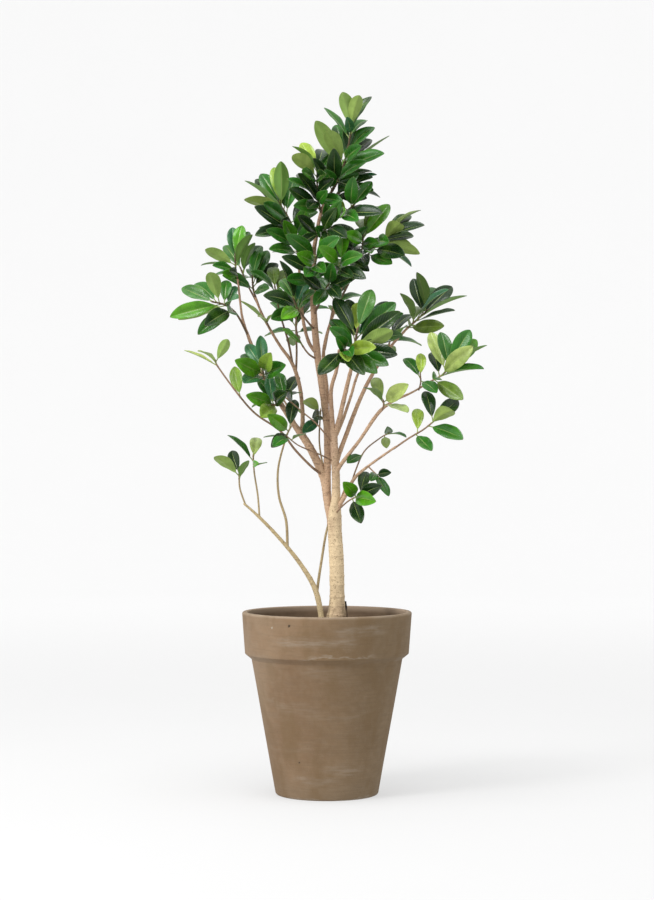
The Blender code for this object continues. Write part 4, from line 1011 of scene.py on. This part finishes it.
            (-0.9, 1.1, 53.6), (-2.6, -0.4, 54.9), (-5.3, -2, 57.7), (-7.8, -3.5, 60.9),
            (-11.7, -5.6, 63.6), (-14.4, -7.3, 66.6), (-17.6, -9.2, 71), (-18.2, -9.8, 72.2),
        ],
        (0.23, 0.12),
        [
            (0.74, "Y", [
                (-1, 3.5, 5, 0.9),
            ]),
            (1, "PPP", [
                (-5.2, 1.6, 1.8, 0.1), (-2.6, -4, 1.4, 0.2), (2.2, -3, 3.4, -0.7),
            ]),
        ],
    ),
    "left_front_shoot": (
        [
            (-10.5, -1.1, 69.5), (-10.6, -2.8, 70.4), (-10.7, -4.2, 71.2),
        ],
        (0.18, 0.13),
        [
            (1, "TGBGYTT", [
                (-2.9, -5.5, -2.6, 0.4), (4, -5, 0.4, 0.8), (-4.4, -5, 1.2, 0.9), (-3.4, 5, 2.8, 0.6),
                (1.6, -6, 2.4, 0.8), (-0.4, 2, 5.6, 0.1), (-1.4, 4.5, 4.6, 0.8),
            ]),
        ],
    ),
    "left_centre_shoot": (
        [
            (-7.5, -0.4, 65.1), (-8.4, -2.4, 65.2), (-9, -4, 65.2),
        ],
        (0.18, 0.13),
        [
            (1, "YDBGT", [
                (-1.8, -5.8, -2.2, 0.8), (2.5, -5.5, 2, 0.7), (-3.6, -5.2, 1, 0.9),
                (-3.4, 4.8, 3, 0.6), (-1.8, 4.5, 4.2, 0.8),
            ]),
        ],
    ),
    "left_crossing_twig": (
        [
            (1, -0.9, 58.8), (-1.6, -2.4, 61.9), (-3.8, -3.4, 63.8), (-7.1, -4.8, 66.6),
        ],
        (0.14, 0.11),
        [
            (1, "DDG", [
                (1, -5.5, 0.5, 0.6), (2.6, 4.5, 0.6, 0.1), (-1, 4, 4, 0.5),
            ]),
        ],
    ),
    "left_crossing_low_twig": (
        [
            (0.9, -0.7, 55.9), (-1.3, -2.6, 57), (-4.6, -4.8, 58.4), (-6.3, -6, 59.7),
        ],
        (0.13, 0.1),
        [
            (1, "DG", [
                (2.8, -4, 0.6, 0.1), (-2.5, -5, -1.5, 0.5),
            ]),
        ],
    ),
    "side_stem_inner_shoot": (
        [
            (-6.6, -2.5, 41.4), (-6.8, -2.9, 45.9), (-8, -3.2, 50.1), (-8.1, -3.6, 54.7),
            (-6.8, -4.4, 59.7), (-6.1, -4.8, 61.3),
        ],
        (0.25, 0.13),
        [
            (1, "TDBD", [
                (-4.5, 3, -1.5, 0.1), (-3, -5, -3.2, 0.8), (-3.6, -5.2, 2.2, 0.9),
                (1.3, 3.5, 5.4, 0.7),
            ]),
        ],
    ),
    "behind_trunk_shoot": (
        [
            (-1.7, -1.5, 33.8), (-1.3, 0.2, 36.7), (-0.9, 1.6, 39.2), (-0.3, 2.6, 42.9),
            (0.4, 3.2, 46.5), (0.3, 3.6, 51.8), (-0.6, 3.6, 54.7), (-1.3, 3.4, 59.1),
            (-1.1, 2.8, 64.1),
        ],
        (0.25, 0.13),
        [
            (1, "TDP", [
                (-3, -4, -3.5, 0.8), (-0.8, -6, -1, 0.8), (-2.6, -5, 2, -0.6),
            ]),
        ],
    ),
    "big_rosette_shoot": (
        [
            (4, -3.8, 71.1), (4.3, -4.6, 73.2), (4.6, -5.4, 75.2), (5, -6.2, 77.4),
        ],
        (0.26, 0.15),
        [
            (0.6, "DGDGG", [
                (-3, -5.2, -2.6, 0.8), (5.5, -5, -3.4, 0.7), (7, -3.5, -1.6, 0.8),
                (-4.2, -4.5, 2.8, 0.7), (-4, 4, 4.6, 0.6),
            ]),
            (1, "PDDDTGDYW", [
                (5.4, -4.8, -0.6, -0.6), (7.6, 2, -0.6, 0.6), (6.8, -3, 2.8, 0.8),
                (-1.5, 5.5, 5.5, 0.6), (5.6, 5, 4.6, 0.5), (6.4, 3, 4.8, 0.8), (-3.8, 3.5, 5.6, 0.7),
                (0.2, 5, 4.2, 0.9), (2.4, 3.5, 7, 0.8),
            ]),
        ],
    ),
    "front_cluster_shoot": (
        [
            (1.9, -4, 73.8), (2.7, -5.8, 74.3), (3.4, -7.4, 73.9),
        ],
        (0.22, 0.14),
        [
            (1, "DGDGYYG", [
                (-4.8, -3.6, -4, 0.7), (3.8, -4, -4.4, 0.8), (1.6, -3.8, -5.8, 0.8), (-3, -5, 2, 0.7),
                (4.6, -4.8, 0.4, 0.8), (-0.6, -6, -1.6, 0.9), (1.8, -6, -0.6, 0.9),
            ]),
        ],
    ),
    "rear_right_shoot": (
        [
            (6.3, 3.8, 72.9), (7.2, 6, 75.6), (7.6, 8.6, 78.6),
        ],
        (0.17, 0.14),
        [
            (1, "GOGDGDG", [
                (-1, 6.5, 1, 0.1), (1, -4.5, -4.5, 0.7), (-4, 5, -1, 0.3), (4, 5.5, -1, 0.3),
                (5.5, -3, 2.5, 0.6), (3, 4, 5, 0.5), (-2, 4.5, 4.8, 0.5),
            ]),
        ],
    ),
    "right_tip_shoot": (
        [
            (13.4, 5.3, 78.2), (15.2, 5.7, 79.8), (17, 6, 81.4),
        ],
        (0.18, 0.13),
        [
            (0.45, "OGOOD", [
                (4.8, -4.8, -1, 0.8), (-2.5, 5, -2, 0.3), (-1.2, -5.8, -1, 0.8), (0.2, 5.5, 3, 0.8),
                (-2.6, -4, 4.6, 0.2),
            ]),
            (1, "DTGGDDD", [
                (4.7, -5.2, -0.6, 0.3), (3.6, -5, 3.4, 0.4), (6.9, -1.5, 2.6, 0.1),
                (1.9, 5.5, 4.4, 0.8), (4.6, 4, 4.6, 0.7), (-1.8, 4.5, 5.4, 0.7), (-1.7, -2, 6.6, 0.1),
            ]),
        ],
    ),
    "right_limb_shoot": (
        [
            (16.8, -4.6, 68.9), (18.9, -5.1, 70), (20.2, -5.6, 71.3),
        ],
        (0.15, 0.13),
        [
            (1, "OGGDLGBLGG", [
                (2, -4.4, -5.4, 0.8), (-3, -5, -2, 0.6), (5.4, -4.6, -0.4, 0.3), (-2.6, 5.5, 2.8, 0.7),
                (3.6, -5.2, 2.4, 0.9), (6.1, -2, 3.6, 0.1), (5.2, 3, 4.8, 0.8), (-3, 3.5, 6, 0.7),
                (3.6, 3, 6.4, 0.8), (-1.2, 5, 5.2, 0.6),
            ]),
        ],
    ),
    "right_limb_mid_shoot": (
        [
            (15.2, -4.3, 67.6), (15.5, -5, 68.9), (15.4, -5.6, 70),
        ],
        (0.13, 0.11),
        [
            (1, "GGY", [
                (2.5, -5, -3, 0.6), (-2.5, 4.5, 3, 0.5), (0.2, 3.5, 3.8, 0.8),
            ]),
        ],
    ),
    "right_limb_inner_shoot": (
        [
            (9.2, -2.7, 64.3), (9.4, -4.2, 65.2), (9.3, -5.4, 65.8),
        ],
        (0.15, 0.12),
        [
            (1, "LDLL", [
                (3.9, -4.8, -2, 0.2), (-3.2, -4.5, 2, 0.1), (4, -5.2, 2.6, 0.8), (-1.4, 4.5, 4, 0.7),
            ]),
        ],
    ),
    "right_low_shoot": (
        [
            (11, -5.4, 57.9), (13.4, -6.8, 59.6), (15.7, -8.5, 61), (17.4, -9.8, 62.4),
        ],
        (0.17, 0.12),
        [
            (0.6, "GY", [
                (2, -5, -3, 0.6), (0, 4.5, 4, 0.8),
            ]),
            (1, "GPDD", [
                (4.5, -4.5, -3, 0.6), (2.8, -5.8, 1.6, -0.6), (4.2, 4.6, 3.6, 0.8),
                (-1.2, 4.5, 5, 0.2),
            ]),
        ],
    ),
    "right_inner_shoot": (
        [
            (4, -2.1, 51.8), (4.8, -1, 54.3), (6.3, 0.4, 57.5), (8.8, 1.8, 59.6), (10.5, 2.6, 60.6),
        ],
        (0.15, 0.1),
        [
            (0.5, "G", [
                (-3.2, -4, -1.2, 0.6),
            ]),
            (1, "PGG", [
                (-0.3, 3.8, -2.6, -0.6), (2.8, -3.5, -0.8, 0.1), (-0.6, -4.4, 0.8, 0.8),
            ]),
        ],
    ),
    "trunk_front_shoot": (
        [
            (1.3, -0.1, 46.8), (2.3, -2.2, 48.1), (3.8, -3.8, 49.4), (5.6, -5, 50.3),
        ],
        (0.15, 0.12),
        [
            (1, "DBBDD", [
                (0, -4.6, -4.6, 0.9), (2.4, -5.8, -1, 0.9), (-3, -5.2, 2.2, 0.9), (3.4, -5, 1.6, 0.8),
                (0.6, 4.5, 4.2, 0.8),
            ]),
        ],
    ),
    "right_low_twiglet": (
        [
            (6.8, -3.5, 55), (7.6, -4.8, 54.2), (8.3, -5.8, 53.5),
        ],
        (0.13, 0.1),
        [
            (1, "GGD", [
                (1.8, -2.6, -3.4, 0.2), (-1.2, -3.8, -0.9, 0.9), (2.2, -3.4, 0.5, 0.8),
            ]),
        ],
    ),
    "side_tip_shoot": (
        [
            (-13.5, -4.5, 48.6), (-14.4, -5.2, 51.4), (-14.5, -5.4, 54),
        ],
        (0.16, 0.12),
        [
            (1, "GPD", [
                (1.6, -3.6, 2, 0.2), (-3.9, -4, 2.6, -0.5), (-1.4, 4, 3.6, 0.8),
            ]),
        ],
    ),
    "side_upper_shoot": (
        [
            (-11.2, -3.7, 46.3), (-11.5, -3, 50), (-12.1, -2.6, 53.8), (-12.3, -2.5, 56.4),
        ],
        (0.17, 0.12),
        [
            (1, "GBGL", [
                (2.4, -2.6, -0.8, 0.1), (1, -3.4, -0.8, 0.9), (-4.4, 2, 3.8, 0.1), (0.4, 5, 3.4, 0.8),
            ]),
        ],
    ),
    "rear_crown_shoot": (
        [
            (-0.4, 4.1, 74.8), (0.4, 6.6, 79), (1.4, 9, 84),
        ],
        (0.22, 0.14),
        [
            (1, "GGDGDGG", [
                (3, 3, -5, 0.3), (-5, 2.5, -2.5, 0.3), (0, 6.5, -2.5, 0.2), (5, 3.5, 0.5, 0.3),
                (3, 4.5, 4.5, 0.3), (-4, 4, 4, 0.3), (0.5, 2.5, 6.5, 0.4),
            ]),
        ],
    ),
    "rear_left_shoot": (
        [
            (-5.3, 3.2, 70.2), (-5.2, 6.6, 74.5), (-5.4, 9.5, 79.5),
        ],
        (0.21, 0.14),
        [
            (1, "DGGDGG", [
                (-0.5, 6, -3.5, 0.2), (4.5, 4, -1.5, 0.3), (-5.5, 3, -2, 0.3), (3, 4, 4.5, 0.3),
                (-4.5, 3.5, 4, 0.3), (0, 3, 6.5, 0.4),
            ]),
        ],
    ),
    "rear_right_upper_shoot": (
        [
            (8.8, 3.8, 72.2), (10.3, 7, 74.4), (11, 10, 77.4),
        ],
        (0.19, 0.14),
        [
            (1, "DGGDG", [
                (0, 6, -3.5, 0.3), (5.5, 3.5, -1.5, 0.3), (-5, 3.5, -1.5, 0.2), (4, 4, 4, 0.3),
                (-3, 4, 5, 0.3),
            ]),
        ],
    ),
    "rear_low_left_shoot": (
        [
            (-4.8, 0.4, 60.7), (-6, 5, 63.6), (-7.6, 9, 66.6),
        ],
        (0.2, 0.13),
        [
            (1, "GGDG", [
                (3.5, 4.5, -3, 0.3), (-5.5, 3, -1.5, 0.2), (2.5, 4.5, 4, 0.3), (-4, 3.5, 4, 0.3),
            ]),
        ],
    ),
}
LEAF_LENGTH = 0.075
LEAF_WIDTH = 0.027
LEAF_THICKNESS = 0.00055
LEAF_SPACING = 0.0042
STALK_SHARE = 0.13
STALK_RADIUS = 0.0009
LEAF_ROWS = 30
LEAF_COLUMNS = 14
LEAF_ROOM = 0.8  # the most of the twig below a whorl that its leaves may take
WIDEST = 1.15  # a long leaf is at most this much wider than a usual one
BLADE_SHARE = 0.988  # the blade's last row lies just short of the leaf's tip
LEAST_ARCH = 0.03
MORE_ARCH = 0.08
LEAST_FOLD = 0.26
MORE_FOLD = 0.26
ROUND_FOLD = 0.0012
RIB_DEPTH = 0.0007
TRIES = 160
TRY_SWING = 0.055
TRY_TURN = 2.39996
TRY_SHRINK = 0.002
SAME_PLACE = 0.0002
# dark, green, bright, yellow, olive, pale, waxy and bluish and light. These copy how bright each leaf
# looks: dark is partly painted shade for leaves deep in the crown, bright is partly painted light for
# lit leaves, and waxy is a green greyed by a painted sheen.
TONES = {
    "D": (0.004, 0.024, 0.004), "G": (0.018, 0.115, 0.007), "B": (0.075, 0.270, 0.007),
    "Y": (0.250, 0.390, 0.045), "O": (0.120, 0.190, 0.022), "P": (0.330, 0.420, 0.110),
    "W": (0.045, 0.150, 0.026), "T": (0.026, 0.125, 0.050), "L": (0.340, 0.450, 0.130),
}


def leaf_frame(root, tip, face):
    """The leaf's length, its direction, its sideways axis and the way its upper face looks."""
    span = tip - root
    length = span.length
    ahead = span / length
    upright, front = Vector((0, 0, 1)), Vector((0, -1, 0))
    upward = (upright - ahead * upright.dot(ahead)).normalized()
    forward = (front - ahead * front.dot(ahead)).normalized()
    normal = (upward * (1 - abs(face)) + forward * face).normalized()
    return length, ahead, normal.cross(ahead).normalized(), normal


def along(route, share):
    """The point at a share of the way along a route."""
    lengths = [(b - a).length for a, b in zip(route, route[1:])]
    left = share * sum(lengths)
    for start, stop, length in zip(route, route[1:], lengths):
        if left <= length:
            return start.lerp(stop, left / length)
        left -= length
    return route[-1].copy()


def grown_tip(root, tip, corners):
    """Where the leaf's tip really grew: leaves turn aside on a spiral until they are free."""
    span = tip - root
    for attempt in range(TRIES):
        axis = Quaternion(span, attempt * TRY_TURN) @ span.orthogonal().normalized()
        swung = Quaternion(axis, TRY_SWING * sqrt(attempt)) @ span * (1 - TRY_SHRINK * attempt)
        if corners.find(root + swung)[2] < SAME_PLACE:
            return root + swung
    return None


def half_width(share):
    """The blade's half width at a share of its length, as a share of the widest."""
    return 3.02 * share ** 0.85 * (1 - share) ** 0.72


def eased(value, low, high):
    share = min(1, max(0, (value - low) / (high - low)))
    return share * share * (3 - 2 * share)


def grow_leaf(shape, base, root, tip, face, number, tint, seed):
    """Adds a closed leaf: a round stalk that widens into a folded, arching, wavy blade."""
    length, ahead, side, normal = leaf_frame(root, tip, face)
    blade_layer = shape.verts.layers.float_color["blade"]
    tint_layer = shape.verts.layers.float_color["tint"]
    arch = (LEAST_ARCH + MORE_ARCH * (number * GOLDEN % 1)) * length
    fold = LEAST_FOLD + MORE_FOLD * (number * GOLDEN * GOLDEN % 1)
    half = LEAF_WIDTH / 2 * min(length / LEAF_LENGTH, WIDEST) * 0.92
    wave = seed * GOLDEN % 1
    lean = 0.018 * length * sin(seed * 2.1)
    stations = [0, 0.35 * STALK_SHARE, 0.7 * STALK_SHARE]
    stations += [
        STALK_SHARE + (1 - STALK_SHARE) * BLADE_SHARE * (1 - cos(pi * i / LEAF_ROWS)) / 2
        for i in range(LEAF_ROWS + 1)
    ]
    rings = []
    for station in stations:
        share = max(0, (station - STALK_SHARE) / (1 - STALK_SHARE))
        flat = eased(share, 0.0, 0.1)
        wide = max(STALK_RADIUS * (1 - share) ** 0.5, half * half_width(share))
        girth = STALK_RADIUS * (1.25 - 0.25 * min(1, station / 0.05))
        centre = (base.lerp(root, min(1, station / 0.05)) + ahead * station * length
                  + normal * 4 * arch * station * (1 - station) + side * lean * sin(pi * station))
        ring = []
        for j in range(2 * LEAF_COLUMNS):
            under = j > LEAF_COLUMNS
            u = 1 - 2 * (2 * LEAF_COLUMNS - j if under else j) / LEAF_COLUMNS
            u = -sin(u * pi / 2) if abs(u) < 1 else -u
            across = wide * u if flat > 0 else girth * u
            away = abs(across)
            rise = fold * (sqrt(away ** 2 + ROUND_FOLD ** 2) - ROUND_FOLD)
            rise += 0.09 * wide * sin(pi * abs(u)) * flat
            rise += (
                0.10 * wide * u * u * sin(2 * pi * (2.3 * share + wave) + u) * flat * (1 - share))
            if under:
                rib = (RIB_DEPTH - 0.0005 * share) * exp(-((away / 0.0008) ** 2))
                skin = -LEAF_THICKNESS / 2 - rib
            else:
                groove = RIB_DEPTH / 2 * (1 - share) * exp(-((away / 0.0007) ** 2))
                skin = LEAF_THICKNESS / 2 - groove
            skin *= sqrt(max(0.0, 1 - u ** 6)) if abs(u) > 0.5 else 1
            round_skin = girth * sqrt(max(0.0, 1 - u * u)) * (-1 if under else 1)
            above = rise * flat + skin * flat + round_skin * (1 - flat)
            vert = shape.verts.new(centre + side * across + normal * above)
            at_margin = j in (0, LEAF_COLUMNS)
            vert[blade_layer] = (0.5 + 0.5 * u, share, 0.5 if at_margin else float(under), flat)
            vert[tint_layer] = (*tint, 1)
            ring.append(vert)
        rings.append(ring)
    end = shape.verts.new(tip)
    end[blade_layer] = (0.5, 1, 0.5, 1)
    end[tint_layer] = (*tint, 1)
    for low, high in zip(rings, rings[1:]):
        for i in range(2 * LEAF_COLUMNS):
            j = (i + 1) % (2 * LEAF_COLUMNS)
            shape.faces.new((low[i], high[i], high[j], low[j]))
    for i in range(2 * LEAF_COLUMNS):
        shape.faces.new((rings[-1][i], end, rings[-1][(i + 1) % (2 * LEAF_COLUMNS)]))
    shape.faces.new(rings[0])


def leaf_tint(tone, seed):
    """The tone with a little of each leaf's own lightness and warmth."""
    light = 0.86 + 0.3 * (seed * GOLDEN * 3.7 % 1)
    warm = 0.92 + 0.2 * (seed * GOLDEN * 5.9 % 1)
    red, green, blue = TONES[tone]
    return red * light * warm, green * light, blue * light / warm


def own_value(skin, name):
    """A value that each corner of the mesh carries."""
    source = skin.nodes.new("ShaderNodeAttribute")
    source.attribute_name = name
    return source.outputs["Color"]


def leaf_skin():
    """Leathery green above with pale veins, midrib and margin; duller and paler below."""
    skin = Skin("leaf", 0.3, 0.28)
    split = skin.nodes.new("ShaderNodeSeparateColor")
    skin.links.new(own_value(skin, "blade"), split.inputs[0])
    across, share, under = split.outputs
    from_rib = skin.worked("ABSOLUTE", skin.worked("SUBTRACT", across, 0.5))
    away = skin.product(from_rib, 2.0)
    slant = skin.worked("SUBTRACT", skin.product(share, 84.0), skin.product(away, 21.0))
    wave = skin.worked("SINE", slant)
    vein = skin.product(skin.ranged(wave, 0.72, 1.0), skin.ranged(away, 0.05, 0.2))
    cloud = skin.patchy(55, 4, 0.35, 0.68, 0.0, 0.4)

    tint = own_value(skin, "tint")
    below = skin.mixed(tint, 0.55, (0.22, 0.37, 0.08))
    below = skin.mixed(below, skin.product(vein, 0.35), (0.11, 0.155, 0.05))
    below = skin.mixed(below, skin.product(cloud, 0.8), (0.10, 0.17, 0.03))

    skin.colour = skin.mixed(tint, cloud, (0.005, 0.020, 0.004))
    skin.tint(skin.patchy(22, 2, 0.5, 0.72, 0.0, 0.22, offset=(4, 2, 9)), (0.10, 0.24, 0.018))
    skin.tint(skin.product(vein, 0.2), (0.13, 0.22, 0.05))
    skin.tint(skin.ranged(away, 0.93, 1.0, 0.0, 0.4), (0.18, 0.24, 0.06))
    skin.tint(under, below)
    rib = skin.product(
        skin.ranged(away, 0.02, 0.065, 1.0, 0.0), skin.ranged(share, 0.5, 0.98, 0.7, 0.1))
    skin.tint(rib, (0.26, 0.33, 0.10))
    skin.tint(skin.ranged(share, 0.0, 0.05, 0.75, 0.0), (0.22, 0.27, 0.07))
    skin.tint(skin.ranged(share, 0.965, 1.0, 0.0, 0.5), (0.09, 0.05, 0.02))

    shine = skin.patchy(90, 3, 0.35, 0.7, 0.2, 0.38)
    dull = skin.worked("ADD", shine, skin.product(under, 0.24))
    skin.links.new(dull, skin.shader.inputs["Roughness"])
    skin.bump(wave, 0.00012, 0.35)
    skin.bump(skin.grain(160, 3), 0.0005, 0.3)
    return skin.finished()


looks_of_leaf = leaf_skin()
brown_twig = bark(
    "twig_bark", (0.30, 0.19, 0.12), (0.085, 0.055, 0.03), (0.04, 0.025, 0.016), 0.66, 0.9)
pale_twig = bark(
    "pale_twig_bark", (0.40, 0.31, 0.17), (0.30, 0.22, 0.11), (0.08, 0.05, 0.028), 0.4, 0.62)
PALE_TWIGS = ("side_stem_inner_shoot", "behind_trunk_shoot", "side_tip_shoot", "side_upper_shoot")
# how far past the twig's end, and how thick beside the twig
BUD = ((0.0012, 1.25), (0.0028, 1.2), (0.0046, 0.85), (0.0064, 0.45), (0.0080, 0.08))
TWIG_ROWS = 0.0009
TWIG_SIDES = 12
SCAR_RISE = 0.3
TWIG_SCAR_BREADTH = 0.0009
seed = 0
for name, (points, (thick, thin), whorls) in SHOOTS.items():
    twig = [place(*point) for point in points]
    length = sum((b - a).length for a, b in zip(twig, twig[1:]))
    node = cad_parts[name]
    corners = KDTree(len(node.data.vertices))
    for vert in node.data.vertices:
        corners.insert(vert.co, vert.index)
    corners.balance()
    route = [place(*point) for point in smooth_route(points, 8)]
    leaves, scars = [], []
    for share, tones, tips in whorls:
        whorl = along(twig, share)
        spacing = min(LEAF_SPACING / length, LEAF_ROOM * share / len(tips))
        for number, ((x, y, z, face), tone) in enumerate(zip(tips, tones)):
            at = share - (len(tips) - number - 0.5) * spacing
            root = along(twig, at)
            tip = grown_tip(root, whorl + Vector((x, y, z)) * 0.01, corners)
            scars.append(at * length)
            if tip:
                leaves.append((along(route, at), root, tip, face, number, tone))
    radii = [(thick + (thin - thick) * i / (len(route) - 1)) * 0.01 for i in range(len(route))]
    rows = []
    for at, radius, far in evened(route, radii, TWIG_ROWS):
        swollen = sum(exp(-(((far - scar) / TWIG_SCAR_BREADTH) ** 2)) for scar in scars)
        rows.append((at, radius * (1 + SCAR_RISE * swollen), far))
    end, radius, far = rows[-1]
    ahead = (end - rows[-4][0]).normalized()
    rows += [(end + ahead * reach, radius * girth, far) for reach, girth in BUD]
    shoot = bmesh.new()
    shoot.verts.layers.float_color.new("blade")
    shoot.verts.layers.float_color.new("tint")
    for wood_face in swept(shoot, rows, TWIG_SIDES):
        wood_face.material_index = 1
    shoot.normal_update()
    worn(shoot.verts, thin * 0.0005)
    for base, root, tip, face, number, tone in leaves:
        seed += 1
        grow_leaf(shoot, base, root, tip, face, number, leaf_tint(tone, seed), seed)
    twig_looks = pale_twig if name in PALE_TWIGS else brown_twig
    finished(f"{name}_leaves", shoot, [looks_of_leaf, twig_looks], name)


# ---- Floor, light and camera -------------------------------------------------------------
# A plain pale floor that curves up all round and glows a little, a large soft light from the
# upper left and another from above. The camera looks level, at the height of the trunk's forks.

PAPER_GLOW = 0.54
NEAR_PAPER = (0.245, 0.245, 0.245)
FAR_PAPER = (0.38, 0.38, 0.38)


def paper():
    """Pale paper that glows by itself, a painted light, so that shadows on it stay light."""
    skin = Skin("pale_paper", 0.9, 0.1)
    far = skin.ranged(skin.distance_to((0, 0, 0)), 1.0, 5.0)
    skin.colour = skin.mixed(NEAR_PAPER, far, FAR_PAPER)
    skin.tint(skin.patchy(3, 2, 0.3, 0.7, 0.0, 0.04), (0.3, 0.3, 0.3))
    # painted light: the paper's own glow lifts its shadows, though it is no lamp
    skin.shader.inputs["Emission Color"].default_value = (1, 1, 1, 1)
    skin.shader.inputs["Emission Strength"].default_value = PAPER_GLOW
    return skin.finished()


curve_up = arc((5.0, 2.0), 2.0, -90, -5, 16)
floor = turned("floor", [(0, 0), (0.5, 0), (2.0, 0), (4.5, 0), *curve_up, (7.1, 4.5)])
floor.data.materials.append(paper())


def soft_light(name, at, size, power):
    """A round lamp that looks at the middle of the plant."""
    light = bpy.data.lights.new(name, "AREA")
    light.shape = "DISK"
    light.size = size
    light.energy = power
    lamp = bpy.data.objects.new(name, light)
    lamp.location = at
    lamp.rotation_euler = (Vector((0, 0, 0.6)) - Vector(at)).to_track_quat("-Z", "Y").to_euler()
    bpy.context.scene.collection.objects.link(lamp)


soft_light("key", (-2.65, -2.15, 2.2), 1.2, 86)
soft_light("top", (-0.3, -0.6, 3.4), 1.4, 54)

world = bpy.data.worlds.new("studio")
world.use_nodes = True
world.node_tree.nodes["Background"].inputs["Color"].default_value = (1, 1, 1, 1)
world.node_tree.nodes["Background"].inputs["Strength"].default_value = 1.05
bpy.context.scene.world = world

lens = bpy.data.cameras.new("camera")
lens.lens = 90
lens.sensor_width = 36
camera = bpy.data.objects.new("camera", lens)
camera.location = (0, -3.78, 0.577)
camera.rotation_euler = (pi / 2, 0, 0)
bpy.context.scene.collection.objects.link(camera)
bpy.context.scene.camera = camera
bpy.context.scene.view_settings.view_transform = "Standard"
